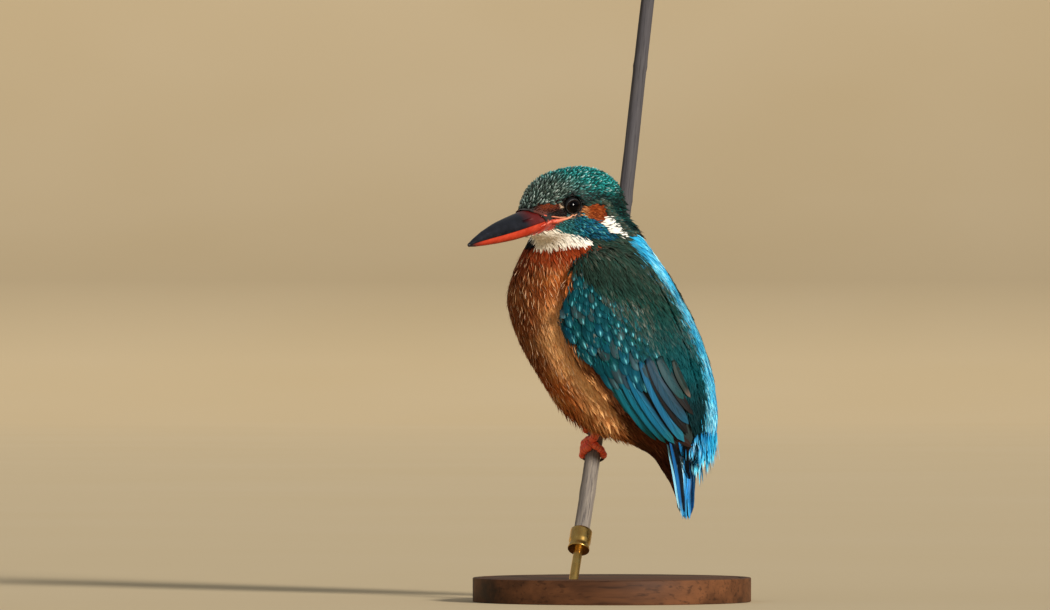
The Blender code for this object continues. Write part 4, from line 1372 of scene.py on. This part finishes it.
def face_length(points):
    at = within(head_axes, points)
    degrees, up = round_head(at), at[:, 2]
    near_eye = np.exp(-(((degrees - 39) / 13) ** 2 + ((up - 2.9) / 3.6) ** 2))
    full = 0.9 + 1.3 * ramp(degrees, 22, 60) + 0.7 * ramp(-up, 1, 6)
    return full - 0.4 * near_eye * ramp(degrees, 22, 40)


def face_width(points):
    return 0.16 + 0.13 * face_length(points)


def face_lift(points):
    return 0.14 + 0.12 * face_length(points)


def clear_of_eyes(chosen, room):
    """Leaves out the roots that would grow over an eye."""
    keep = np.ones(len(chosen), bool)
    for centre in eye_centres:
        keep &= np.linalg.norm(pool[chosen] - np.array(centre), axis=1) > room * MM
    return chosen[keep]


FACE_FROM_EYES, CAP_FROM_EYES = 3.0, 3.1
face = clear_of_eyes(tract(*FACE), FACE_FROM_EYES)
clothe("feathers_face", face, 0.33, face_length, face_width, face_lift, face_colours, silky, "plumage_head",
       round_face, seed=64, jitter=0.15, roll=0.35)


# ---- Cap -----------------------------------------------------------------------------------------
# Scale-like feathers from the forehead over the crown, each blackish with a bright band near its tip:
# grey-green in front, turquoise on the crown, and dark green on the loose pointed feathers of the nape.


def cap_zones(roots):
    """How far each place belongs to the grey forehead, to the dark nape, and to the dark lower edge."""
    at = pool_head[roots]
    front = ramp(at[:, 0] - 0.15 * at[:, 2], 3.5, 12)
    degrees = round_head(at)
    behind_ear = ramp(degrees, 88, 100) * ramp(-at[:, 2], -5, -2)
    nape = np.clip(ramp(-at[:, 0], 9, 15) + ramp(-at[:, 2], 0, 4) + behind_ear, 0, 1)
    edge = 1 - eased(at[:, 2] - on_line(CAP_EDGE, degrees), 0.4, 1.9 + 3.6 * ramp(degrees, 36, 58))
    return front, nape, edge * ramp(degrees, 24, 34)


def cap_colours(roots):
    count = len(roots)
    front, nape, edge = cap_zones(roots)
    low, middle, bright = three(
        count, 82, [("#020908", 1), ("#041311", 1)], [("#06332f", 3), ("#08443e", 3), ("#03191a", 4)],
        [("#0d6f68", 3), ("#094c48", 4), ("#1f9c94", 1)]
    )
    grey_middle = one_of(count, [("#161f1b", 2), ("#26332c", 2)], 85)
    grey_bright = one_of(count, [("#4a5c50", 3), ("#6d8073", 2), ("#32433a", 3), ("#4c4a3a", 1)], 86)
    dark = one_of(count, [("#05211f", 3), ("#093431", 2), ("#020c0b", 4)], 87)
    middle += (grey_middle - middle) * front[:, None]
    bright += (grey_bright - bright) * front[:, None]
    for colours in (middle, bright):
        colours += (dark - colours) * (np.maximum(nape, edge) * 0.92)[:, None]
        colours[:] = toward(colours, "#060c0b", edge * 0.75)
    return low, middle, bright


def fleck_colours(roots):
    count = len(roots)
    front, nape, edge = cap_zones(roots)
    bright = one_of(count, [("#24c4c2", 3), ("#58e4e4", 3), ("#c0fcf8", 2), ("#16a09e", 2)], 184)
    grey = one_of(count, [("#b5cabe", 3), ("#e4f0e6", 1.4), ("#8aa295", 2)], 185)
    dark = one_of(count, [("#0e4a44", 3), ("#146a62", 1), ("#082c29", 3)], 186)
    bright += (grey - bright) * (front * 0.9)[:, None]
    bright += (dark - bright) * np.maximum(nape, edge)[:, None]
    return bright * 0.05, bright * 0.35, bright


def cap_length(points):
    at = within(head_axes, points)
    return 1.6 + 0.8 * ramp(-at[:, 0], -16, 4) + 2.0 * ramp(-at[:, 0], 4, 14) + 1.4 * ramp(-at[:, 2], 0, 8)


def cap_lift(points):
    """Low over the crown, and raised on the forehead into its steep front."""
    at = within(head_axes, points)
    return 0.45 + 0.5 * ramp(at[:, 0], 2, 10) * ramp(at[:, 2], 4, 8)


def cap_width(points):
    return 0.9 + 0.35 * ramp(-within(head_axes, points)[:, 0], -16, 0)


def nape_flare(points):
    at = within(head_axes, points)
    return 0.25 + 2.3 * ramp(-at[:, 0], 7, 13) * ramp(-at[:, 2], -1, 5) + 0.3 * ramp(at[:, 0], 12, 15)


cap = clear_of_eyes(tract("cap"), CAP_FROM_EYES)
cap_coat = (cap_colours, glossy, "plumage_head", dome)
clothe("feathers_cap", cap, 0.62, cap_length, cap_width, cap_lift, *cap_coat, seed=88, rings=4, roll=0.2,
       ridge=0.2, flare=nape_flare, root=0.6, at=0.62)
clothe("feathers_cap_flecks", cap, 0.85, (1.3, 1.9), (0.34, 0.58),
       lambda points: 0.3 + 1.1 * cap_lift(points), fleck_colours, glossy, "plumage_head", dome, seed=188,
       rings=4, jitter=0.3, roll=0.4, ridge=0.3, flare=0.3, root=0.4, at=0.7)
nape = tract("cap")
nape = nape[(pool_head[nape][:, 0] < -8) & (pool_head[nape][:, 2] < 1)]
clothe("feathers_nape", nape, 1.0, (3.6, 5.6), (0.5, 0.9), (0.7, 1.1), *cap_coat, seed=189, rings=4,
       jitter=0.25, roll=0.5, ridge=0.3, tip=0.8, flare=1.8, root=0.6)


# ---- Flight feathers -----------------------------------------------------------------------------
# Stiff long vanes of the folded wing, laid like tiles with each one over the last: narrow teal
# primaries and two dark ones below them, broader blue secondaries, and blackish and grey-blue tertials
# on top.

# Each feather of a wing, in the body's axes and in millimetres: distance back and height of its root
# and of its tip, half width, height over the skin at its root and tip, then its outer web's colour, its
# inner web's, its tip's.
DARK_WEB = "#0b1216"
PRIMARIES = [
    (12.0, 68.0, 29.4, 49.0, 1.7, 0.22, 0.30, "#2a1810", "#140d0b", "#30190f"),
    (14.0, 68.0, 29.8, 51.4, 1.6, 0.30, 0.38, "#241612", "#120c0a", "#2a160e"),
    (3.4, 74.0, 15.4, 56.2, 0.75, 0.30, 0.34, "#0d5a62", DARK_WEB, "#144c50"),
    (4.0, 74.2, 16.0, 55.6, 0.75, 0.38, 0.42, "#16707a", DARK_WEB, "#175a5c"),
    (4.6, 74.4, 17.0, 55.0, 0.8, 0.46, 0.50, "#0e666e", DARK_WEB, "#145653"),
    (5.4, 74.6, 17.8, 54.4, 0.85, 0.54, 0.58, "#167280", DARK_WEB, "#186468"),
]
SECONDARIES = [
    (6.6, 73.4, 18.4, 53.9, 1.6, 0.62, 0.70, "#0c6374", DARK_WEB, "#16646a"),
    (8.9, 74.6, 22.0, 53.2, 1.7, 0.72, 0.82, "#0d637c", DARK_WEB, "#17686f"),
    (11.4, 75.0, 24.7, 52.9, 1.7, 0.82, 0.94, "#0f6284", DARK_WEB, "#176a74"),
    (15.6, 79.6, 27.6, 53.3, 2.0, 0.92, 1.06, "#145e84", DARK_WEB, "#166c80"),
]
TERTIALS = [
    (17.2, 80.0, 28.8, 55.8, 1.9, 0.98, 1.06, "#0d0a0b", "#080707", "#100b0a"),
    (17.6, 80.6, 29.0, 59.0, 2.2, 1.06, 1.20, "#183c50", "#0a1016", "#0f506a"),
    (21.0, 81.0, 30.2, 62.0, 1.6, 1.10, 1.22, "#141111", "#0c0a0a", "#1e1714"),
    (20.6, 80.6, 27.8, 67.2, 1.9, 1.18, 1.32, "#183f46", "#0a1214", "#164a4a"),
    (24.8, 79.8, 29.4, 67.6, 1.3, 1.24, 1.40, "#1c2c28", "#1c2220", "#6a5a50"),
]
FINE_SHAFT = [(-1.0, 0.0), (-0.24, 0.8), (-0.08, 0.9), (0.0, 1.1), (0.08, 0.9), (0.24, 0.8), (1.0, 0.0)]
SHAFTED = [(-1.0, 0.0), (-0.55, 0.55), (-0.09, 0.7), (0.0, 1.15), (0.09, 0.7), (0.55, 0.55), (1.0, 0.0)]
WING_BOW = 0.02
STEPS = 14
along = np.arange(STEPS + 1) / STEPS


def laid_on(side, spots):
    """Places on one flank of the skin for (back, height) spots, and which way is out there."""
    turn = body_axes.to_3x3()
    places, outs = [], []
    for back, height in spots:
        start = body_axes @ (Vector((back, side * 60, height)) * MM)
        hit, _, face, _ = skin_tree.ray_cast(start, turn @ Vector((0, -side, 0)))
        if len(places) > 1:
            carried = places[-1] * 2 - places[-2]
            if hit is None or (hit - carried).length > 1.1 * MM:
                bent = turn.inverted() @ (carried - Vector(body_axes.translation))
                hit = body_axes @ Vector((back * MM, bent.y, height * MM))
                face = None
        places.append(hit)
        outs.append(face_ups[face] if face is not None else outs[-1])
    return places, outs


def eased_ups(ups):
    """Evens out the way up along each vane, as a stiff feather's is."""
    even = ups.copy()
    for _ in range(3):
        even[:, 1:-1] = (even[:, :-2] + even[:, 1:-1] * 2 + even[:, 2:]) / 4
    return even / np.linalg.norm(even, axis=2)[..., None]


def grid_seats(count):
    """Seats for a few large feathers, each with a cell of the coat's map to itself, and a cell's size."""
    wide = math.ceil(math.sqrt(count))
    cells = np.array([(i % wide, i // wide) for i in range(count)])
    return (cells + 0.5) / wide, 0.86 / wide


def web_tints(outer, inner, tip, shaft, flipped):
    """Colours over one feather seen from its root, as grow() takes them: its outer web is on the left,
    unless flipped."""
    across = np.array([rgb(c) for c in (outer, outer, outer, shaft, outer, outer, inner)])
    across[0] *= 0.75
    across[5] *= 0.6
    fade = (eased(along, 0.72, 1.0) * 0.9)[:, None, None]
    shade = (0.75 + 0.35 * np.sin(math.pi * along))[:, None, None]
    body = np.broadcast_to(across, (STEPS + 1, 7, 3)) * shade
    tints = body + (rgb(tip) - body) * fade
    return tints[:, ::-1] if flipped else tints


def lay(name, vanes, finish, slot, shape, *nodes,
        section=SHAFTED, ridge=0.07, even=False, seats=None, patch=None):
    """One mesh of feathers laid one by one. Each has a path over the body, the way up along it, its half
    width, heights over its path, colours and roll."""
    paths, ups, halves, heights, tints, rolls = (np.array(column) for column in zip(*vanes))
    if even:
        ups = eased_ups(ups)
    if seats is None:
        seats, patch = grid_seats(len(vanes))
    piece = grow(name, paths, ups, halves, heights, tints, ridge, rolls, shape, seats, section, patch)
    return finished(piece, name, finish, slot, *nodes)


stiff = barbed("stiff_feather", 0.4, oblique=0.5, barbs=34, streaks=1.2, Roughness=0.5,
               Specular_IOR_Level=0.15)
# Each layer: its feathers, the lift of their outer edges in degrees, and how pointed they end.
for layer, feathers, tilt, tip in (
    ("primaries", PRIMARIES, 9, 0.4), ("secondaries", SECONDARIES, 12, 0.4), ("tertials", TERTIALS, 9, 0.5)
):
    vanes = []
    for side in SIDE_NAMES:
        for from_x, from_z, to_x, to_z, half, low, high, outer, inner, end in feathers:
            root, way = np.array((from_x, from_z)), np.array((to_x - from_x, to_z - from_z))
            bow = np.array((way[1], -way[0])) * WING_BOW
            spots = root + way * along[:, None] + bow * (4 * along * (1 - along))[:, None]
            tints = web_tints(outer, inner, end, "#0a3038", side == RIGHT)
            heights = (low + (high - low) * along) * MM
            vanes.append((*laid_on(side, spots), half * MM, heights, tints, math.radians(tilt) * side))
    lay("feathers_" + layer, vanes, stiff, "plumage_wing", blade(along, tip, 0.55), even=True)


# ---- Wing coverts --------------------------------------------------------------------------------
# Rows of small overlapping feathers that run down and back over the folded wing, dark teal, each with a
# bright turquoise streak at its tip. They grow larger from the shoulder to the last row, over the
# flight feathers' roots.

# Each row, in millimetres: its drop below the first, and its feathers' length, half width and spacing.
COVERT_ROWS = [
    (-7.0, 3.4, 0.9, 1.9),
    (-4.6, 3.8, 1.05, 2.2),
    (-2.0, 4.6, 1.25, 2.6),
    (1.0, 5.4, 1.45, 3.0),
    (4.6, 6.2, 1.6, 3.4),
    (8.4, 7.0, 1.75, 3.7),
    (12.2, 7.8, 1.85, 3.9),
    (16.0, 8.6, 1.85, 3.9),
    (20.0, 8.8, 1.6, 3.4),
]
# Where the first row starts, the height of the last one, and the way all rows run.
FIRST_BACK, FIRST_HEIGHT, LAST_HEIGHT = -8.7, 99.4, 70.6
ROW_WAY = (0.84, -0.54)
# The rear edge of the coverts, where the scapulars' tips lie over them: height, and distance back.
SCAPULAR_EDGE = [(118, -6), (110, -4.5), (104.2, -2.3), (99.5, 1.0), (94.2, 5.9), (90.9, 9.3),
                 (85.8, 13.2), (79.0, 17.0), (76.5, 20.4), (75, 23.1), (72.9, 26.6), (70.4, 29.4),
                 (64, 30.4), (58, 30.6), (50, 33)]


def covert_way(back, height):
    """The way a covert points: almost straight down, but along the wing's edge near its front."""
    edge_run = on_line(WING_FRONT, height - 2) - on_line(WING_FRONT, height + 2)
    along_edge = np.array((edge_run / 4, -1.0))
    along_edge /= np.linalg.norm(along_edge)
    near = math.exp(-max(back - float(on_line(WING_FRONT, height)), 0) / 4.5)
    way = along_edge * near + np.array((0.24, -0.97)) * (1 - near)
    return way / np.linalg.norm(way)


def covert_list():
    """Each covert's tip, as distance back and height, then its length, half width and row."""
    listed = []
    for row, (drop, length, half, gap) in enumerate(COVERT_ROWS):
        for k in range(-2, 22):
            run = (k + 0.5 * (row % 2)) * gap
            back, height = FIRST_BACK + ROW_WAY[0] * run, FIRST_HEIGHT - drop + ROW_WAY[1] * run
            front, behind = on_line(WING_FRONT, height), on_line(SCAPULAR_EDGE, height)
            if front + 0.5 * half < back < behind + 4 and height > LAST_HEIGHT + 0.9:
                listed.append((back, height, length, half, row))
    for k in range(8):
        listed.append((5.8 + 1.95 * k, LAST_HEIGHT - 0.16 * k, 9.0, 1.3, len(COVERT_ROWS)))
    return listed


maker = np.random.default_rng(111)
COVERT_STEPS = 8
COVERT_PATCH = 0.03
WINGS_APART = 70
t = np.arange(COVERT_STEPS + 1) / COVERT_STEPS
vanes, seats = [], []
for side in SIDE_NAMES:
    for back, height, length, half, row in sorted(covert_list(), key=lambda covert: covert[1]):
        nudge = maker.normal(0, 0.35, 2)
        way = covert_way(back, height)
        root = np.array((back, height)) + nudge - way * length
        heights = (0.55 + (0.6 - 0.03 * row) * t**0.6) * MM
        blue = maker.random()
        web = toward(rgb("#09474a")[None], "#0e5c84", 0.1 + 0.6 * blue * ramp(row, 1, 8))
        web = toward(web, "#50524e", 0.45 * (maker.random() < 0.24)) * (0.8 + 0.35 * maker.random())
        tints = np.broadcast_to(web, (COVERT_STEPS + 1, 7, 3)) * (0.62 + 0.38 * t)[:, None, None]
        tints = tints * np.array([0.7, 0.95, 1.05, 0.85, 1.05, 0.95, 0.7])[None, :, None]
        streak = np.exp(-(((t - 0.82) / (0.09 + 0.07 * maker.random())) ** 2))[:, None, None]
        streak = streak * np.array([0, 0.1, 0.9, 1.0, 0.9, 0.1, 0])[None, :, None]
        tints = tints + (rgb("#7fe6f5") - tints) * (streak * maker.choice([0.0, 0.15, 0.7, 1.0]))
        roll = math.radians(5) * side + maker.normal(0, 0.04)
        vanes.append((*laid_on(side, root + way * length * t[:, None]), half * MM, heights, tints, roll))
        seats.append((back + (WINGS_APART if side == RIGHT else 0), height))
seats = seated(np.array(seats)) * (1 - 2 * COVERT_PATCH) + COVERT_PATCH
lay("feathers_coverts", vanes, silky, "plumage_wing", blade(t, 0.45, 0.6), section=FINE_SHAFT, ridge=0.06,
    even=True, seats=seats, patch=COVERT_PATCH)


def covert_barb_colours(roots):
    middle = [("#0b4a4c", 4), ("#0d5560", 3), ("#565c55", 1.6)]
    tip = [("#0f6260", 4), ("#14687a", 2), ("#75807a", 1.1), ("#2aa0a8", 0.7)]
    lean = clouds(pool[roots], 4, 115)
    return three(len(roots), 116, [("#062a2c", 1), ("#0a3638", 1)], middle, tip, lean)


wing = tract("mantle")
at_wing = pool_body[wing]
behind = on_line(SCAPULAR_EDGE, at_wing[:, 2])
wing = wing[(at_wing[:, 0] < behind) & (at_wing[:, 2] > 78) & (at_wing[:, 2] < 112)]
clothe("feathers_covert_barbs", wing, 0.85, (2.4, 4.0), (0.24, 0.44), (1.0, 1.45), covert_barb_colours,
       silky, "plumage_wing", round_body, seed=119, jitter=0.2, roll=0.5)


# ---- Mantle and scapulars ------------------------------------------------------------------------
# Long loose-webbed feathers over the shoulders and the top of each folded wing, bottle green with
# strands of teal and grey-brown in them.

MANTLE = [("#0c1e19", 3), ("#122f28", 4), ("#153c33", 4), ("#0f504a", 3), ("#283630", 3), ("#454a42", 1.2)]
MANTLE_TIPS = [("#1a3c36", 4), ("#235048", 3), ("#565a50", 2.6), ("#8c8e84", 1.0), ("#1a7078", 1.0)]


def mantle_colours(roots):
    body = pool_body[roots]
    teal = ramp(-body[:, 2], -98, -76) * (0.7 + 0.25 * ramp(body[:, 0], 14, 26))
    olive = ramp(body[:, 2], 96, 112) * 0.4
    shade = 0.75 * ramp(-body[:, 2], -76, -66) * ramp(body[:, 0], 27, 29.5)
    lean = clouds(pool[roots], 7, 91)
    made = three(len(roots), 92, [("#0a1613", 1), ("#0e1e1a", 1)], MANTLE, MANTLE_TIPS, lean)
    for code, share in (("#034c54", teal), ("#39392c", olive), ("#030b0d", shade)):
        made = [toward(colours, code, share) for colours in made]
    return made


def mantle_length(points):
    """Full length on the back, and short on the side of the neck where the face's small feathers begin."""
    return 1.8 + 4.4 * ramp(-points[:, 2] / MM, -124, -114)


mantle = tract("mantle")
body = pool_body[mantle]
reach = on_line(SCAPULAR_EDGE, body[:, 2] - 4.2) - 1.6
mantle = mantle[(body[:, 0] > reach) | (body[:, 2] > 109)]
mantle_coat = (mantle_colours, silky, "plumage_wing", round_body)
clothe("feathers_mantle", mantle, 0.9, mantle_length, (0.8, 1.3), (0.9, 1.3), *mantle_coat, seed=95,
       roll=0.25, ridge=0.12)
clothe("feathers_mantle_barbs", mantle, 0.48, lambda points: 0.8 * mantle_length(points), (0.20, 0.34),
       (1.1, 1.5), *mantle_coat, seed=96, jitter=0.16, roll=0.5)


# ---- Azure back ----------------------------------------------------------------------------------
# A brilliant blue stripe of loose shining feathers from the mantle down the back, broad over the rump,
# where it ends in fine points over the tail.

AZURE = [("#1a98d0", 2), ("#2fb6e8", 4), ("#5cd2f4", 3), ("#9ceafc", 1.5)]
AZURE_TIPS = [("#44c2f0", 3), ("#7ce0fc", 3), ("#c4f4ff", 1.5), ("#1480be", 1.6)]


def azure_colours(roots):
    x, y, z = pool_body[roots].T
    edge = np.exp(-(((x - on_line(AZURE_EDGE, z) - 0.5) / 0.9) ** 2)) * 0.6 * (z > 52)
    deep = ramp(-z, -61, -55) * ramp(np.abs(y), 2.0, 4.5) * 0.4
    lean = clouds(pool[roots], 5, 101)
    made = three(len(roots), 102, [("#1069a0", 1), ("#0c5080", 1)], AZURE, AZURE_TIPS, lean)
    return [toward(toward(colours, "#0d4a5c", edge), "#1268be", deep) for colours in made]


round_back = unrolled(body_axes, True)
azure = tract("azure")
back_coat = (azure_colours, silky, "plumage_tail", round_back)
clothe("feathers_back", azure, 0.9, (6.0, 9.0), (0.8, 1.3), (0.5, 0.9), *back_coat, seed=105, roll=0.35)
clothe("feathers_back_barbs", azure, 0.55, (5.0, 8.5), (0.24, 0.42), (0.7, 1.2), *back_coat, seed=106,
       jitter=0.15, roll=0.6)

# The rump's last feathers do not follow the body under them: they hang straight down in loose points.
RUMP_TOP = 57
RUMP_STEPS = 4
maker = np.random.default_rng(120)
roots = spaced(azure[within(body_axes, pool[azure])[:, 2] < RUMP_TOP], 0.8)
count = len(roots)
t = np.arange(RUMP_STEPS + 1) / RUMP_STEPS
fall = np.array(body_axes.to_3x3()) @ np.array((0.02, 0, -1.0))
way = fall + pool_ups[roots] * 0.06 + maker.normal(0, 0.05, (count, 3))
reach = (3.0 + 5.0 * maker.random(count) ** 1.8) * MM
paths = pool[roots][:, None] + way[:, None] * (reach[:, None] * t[None, :])[..., None]
tops = np.repeat(pool_ups[roots][:, None], RUMP_STEPS + 1, 1)
heights = np.repeat(((0.5 + 0.7 * maker.random(count)) * MM)[:, None], RUMP_STEPS + 1, 1)
halves = (0.16 + 0.3 * maker.random(count)) * MM
tints = stops(*azure_colours(roots), RUMP_STEPS)
rolls = maker.normal(0, 0.4, count)
shape, seats = blade(t, 0.9, 0.5), seated(round_back(pool[roots]))
rump = grow("feathers_rump", paths, tops, halves, heights, tints, 0.2, rolls, shape, seats)
finished(rump, "feathers_rump", silky, "plumage_tail")


# ---- Tail and its coverts ------------------------------------------------------------------------
# Twelve short feathers closed into a narrow stack, bright blue above and blackish below. The middle
# pair lies on top, and each pair after it lies lower and farther out.

TAIL_ROOT, TAIL_TIP, TAIL_BACK = 56.0, 27.2, 24.9
PAIRS = 6
# Each feather's blue upper face and its dark lower one: its drop, outer and inner web, and tip.
TAIL_FACES = [(0.0, "#4cb0ec", "#1560a0", "#3aa2e0"), (-0.4, "#10161c", "#0c1116", "#151d26")]
# How each half of the tail fans out: the step outwards from pair to pair, the lean back of its tips,
# the step forwards from pair to pair, and how far along it stays wide.
TAIL_HALVES = {LEFT: (0.8, 0.7, 0.22, 0.85), RIGHT: (1.05, 1.4, 0.05, 0.66)}
on_body = np.array(body_axes.to_3x3())
vanes = []
for side, (outwards, lean_back, forwards, open_for) in TAIL_HALVES.items():
    for pair in range(PAIRS):
        lean = math.radians(9 * pair) * side
        up = on_body @ np.array((math.cos(lean), math.sin(lean), 0.02))
        up /= np.linalg.norm(up)
        height = TAIL_ROOT + (TAIL_TIP + 0.5 * pair - TAIL_ROOT) * along
        spread = 0.55 + 0.5 * np.sin(math.pi * np.clip(along * open_for + 0.12, 0, 1))
        across = side * (0.7 + outwards * pair) * spread
        for drop, outer, inner, end in TAIL_FACES:
            back = TAIL_BACK + drop + (lean_back * along - forwards * pair) + 0.25 * np.sin(math.pi * along)
            if pair == PAIRS - 1 and drop == 0:
                outer, end = "#a8dcf6", "#b8e4f8"
            path = from_frame(body_axes, np.stack([back, across, height], 1))
            tints = web_tints(outer, inner, end, "#06121c", side == LEFT)
            half = (2.0 - 0.1 * pair - 0.2 * (drop < 0)) * MM
            vanes.append((path, np.tile(up, (STEPS + 1, 1)), half, np.zeros(STEPS + 1), tints, 0.0))
tail = lay("feathers_tail", vanes, stiff, "plumage_tail", blade(along, 0.3, 0.7), "tail", ridge=0.08)

# Soft chestnut coverts under the tail, which narrow along it to its last quarter.
UNDERTAIL = [(52.0, 15.6), (47.0, 17.4), (43.1, 18.8), (37.4, 21.0), (32.7, 22.9), (28.0, 24.6)]
UNDERTAIL_TOP = UNDERTAIL[0][0]
UNDERTAIL_ROWS, UNDERTAIL_ROW = 2, 11
maker = np.random.default_rng(130)
t = np.arange(COVERT_STEPS + 1) / COVERT_STEPS
browns = three(UNDERTAIL_ROWS * UNDERTAIL_ROW, 131, [("#4a1e0e", 1), ("#3c180b", 1)],
               [("#54240f", 2), ("#3e1a0c", 2), ("#6b3014", 1)], [("#3a180c", 2), ("#5c2a12", 2)])
vanes = []
for tints in stops(*browns, COVERT_STEPS):
    row, place = divmod(len(vanes), UNDERTAIL_ROW)
    share = 2 * place / (UNDERTAIL_ROW - 1) - 1
    tip = 27.5 + 5 * abs(share) + 3 * row + 3 * maker.random()
    height = UNDERTAIL_TOP - row * 2 + (tip - UNDERTAIL_TOP) * t
    back = on_line(UNDERTAIL, height) + 0.9 * row + 1.6 * share**2
    path = from_frame(body_axes, np.stack([back, share * (5.2 - 2.6 * t), height], 1))
    up = on_body @ np.array((-1.0, 0.9 * share, -0.3))
    ups = np.tile(up / np.linalg.norm(up), (len(t), 1))
    half = (1.0 + 0.3 * maker.random()) * MM
    vanes.append((path, ups, half, np.zeros(len(t)), tints, maker.normal(0, 0.1)))
undertail = lay("feathers_undertail", vanes, soft, "plumage_orange", blade(t, 0.8, 0.6), section=ROOF,
                ridge=0.15)

# Long coverts over each side of the tail's root, pale blue at the front edge; the near-black ones behind
# and between the blue ones are painted shadow in the gaps: distance back and height of each one's root, the
# same of its tip, half width, and three colours.
TAIL_COVERTS = [
    (27.7, 53.0, 26.4, 39.5, 0.7, "#04080e", "#04080e", "#060c14"),
    (26.4, 53.0, 26.0, 27.6, 1.0, "#1f86d0", "#0a2a48", "#3a90d8"),
    (24.4, 53.0, 25.4, 29.0, 0.7, "#06121c", "#06121c", "#0a2038"),
    (23.2, 53.0, 24.9, 27.4, 0.6, "#1a6cb4", "#0c3458", "#57b0e8"),
    (21.8, 52.4, 24.2, 27.8, 0.4, "#8fd6f4", "#4fb4ea", "#b8e6fa"),
]
rear_surface = surface_of([skin, tail, undertail])
inward = body_axes.to_3x3() @ Vector((0, -1, 0))
FAR_OUT = 40


def hugging(side, backs, highs):
    """How far out from the body's middle a line of (back, height) spots lies on the rear's surface."""
    outs = []
    for back, high in zip(backs, highs):
        start = body_axes @ (Vector((back, side * FAR_OUT, high)) * MM)
        hit = rear_surface.ray_cast(start, inward * side)[0]
        outs.append(outs[-1] * 0.94 if hit is None else FAR_OUT - (hit - start).length / MM)
    outs = np.array(outs)
    outs[1:-1] = np.maximum(outs[1:-1], np.maximum(outs[:-2], outs[2:]))
    for _ in range(6):
        outs[1:-1] = (outs[:-2] + outs[1:-1] * 2 + outs[2:]) / 4
    return outs


vanes = []
for side in SIDE_NAMES:
    up = (body_axes.to_3x3() @ Vector((0.3, side, 0.05))).normalized()
    for k, (back, high, tip_back, tip_high, half, outer, inner, end) in enumerate(TAIL_COVERTS):
        backs = back + (tip_back - 1.0 * (side == RIGHT) - back) * along
        highs = high + (tip_high - high) * along
        path = from_frame(body_axes, np.stack([backs, side * hugging(side, backs, highs), highs], 1))
        heights = np.full(STEPS + 1, (0.45 + 0.13 * k) * MM)
        tints = web_tints(outer, inner, end, "#06121c", side == RIGHT)
        vanes.append((path, [up] * (STEPS + 1), half * MM, heights, tints, 0.1 * side))
lay("feathers_tail_coverts", vanes, stiff, "plumage_tail", blade(along, 0.6, 0.6))


# ---- Stage ---------------------------------------------------------------------------------------
# A plain pale sweep: a wide flat floor that curves up far from the model, under a room's even light, a
# warm key light from the bird's left and behind it, and a faint cool fill from its left and in front.

FLOOR_RADIUS = 5.6
SKY_COLOUR, SKY_STRENGTH = (0.93, 0.96, 1.0, 1), 0.30
SWEEP = [(6.0, 0.05), (6.4, 0.2), (6.75, 0.45), (7.0, 0.8), (7.15, 1.3), (7.2, 1.9)]
CAMERA_LENS, SENSOR = 380, 36
VIEW_WIDTH = 346.5 * MM
VIEW_CENTRE = Vector((-28.7, -4.0, 98.0)) * MM


def pale_paper():
    made = Finish("pale_paper", Roughness=0.95, Specular_IOR_Level=0.1)
    fibre = made.noise(made.place(), 3, 2)
    # The paper is painted darker from the floor up onto the sweep: painted shade that evens out the key
    # light, which falls more squarely on the upright part.
    sheet = made.mix(made.spread(made.part(made.place(), 2), 0.0, 0.12), "#cdb994", "#a08f70")
    return made.done(made.mix(fibre * 0.06, sheet, "#ffffff"))


select_only()
bpy.ops.mesh.primitive_circle_add(vertices=128, radius=FLOOR_RADIUS, fill_type="NGON")
floor = bpy.context.object
choose("EDGE", lambda edge: edge.is_boundary)
reach, height = FLOOR_RADIUS, 0.0
for next_reach, next_height in SWEEP:
    bpy.ops.mesh.extrude_edges_move(TRANSFORM_OT_translate={"value": (0, 0, next_height - height)})
    growth = next_reach / reach
    bpy.ops.transform.resize(value=(growth, growth, 1))
    reach, height = next_reach, next_height
bpy.ops.object.mode_set(mode="OBJECT")
bpy.ops.object.shade_smooth()
floor.name = "floor_sweep"
floor.data.materials.append(pale_paper())

# Each light: its name, its strength, its colour, how widely it spreads in degrees, and the way to it.
LIGHTS = [
    ("key", 4.6, (1.0, 0.94, 0.85), 10, Vector((0.70, -0.98, 0.42))),
    ("fill", 0.3, (0.88, 0.94, 1.0), 60, Vector((-0.7, -0.9, 0.3))),
]
for name, strength, colour, spread, way in LIGHTS:
    select_only()
    bpy.ops.object.light_add(type="SUN", location=way)
    lamp = bpy.context.object
    lamp.name = name
    lamp.data.energy = strength
    lamp.data.color = colour
    lamp.data.angle = math.radians(spread)
    lamp.rotation_mode = "QUATERNION"
    lamp.rotation_quaternion = way.to_track_quat("Z", "Y")
world = bpy.data.worlds.new("room")
world.use_nodes = True
sky = world.node_tree.nodes["Background"]
sky.inputs["Color"].default_value = SKY_COLOUR
sky.inputs["Strength"].default_value = SKY_STRENGTH
bpy.context.scene.world = world
bpy.context.scene.view_settings.view_transform = "Standard"

select_only()
distance = VIEW_WIDTH * CAMERA_LENS / SENSOR
bpy.ops.object.camera_add(
    location=VIEW_CENTRE - Vector((0, distance, 0)), rotation=(math.radians(90), 0, 0)
)
camera = bpy.context.object
camera.data.lens = CAMERA_LENS
camera.data.sensor_width = SENSOR
camera.data.clip_start, camera.data.clip_end = 0.1, 30
bpy.context.scene.camera = camera
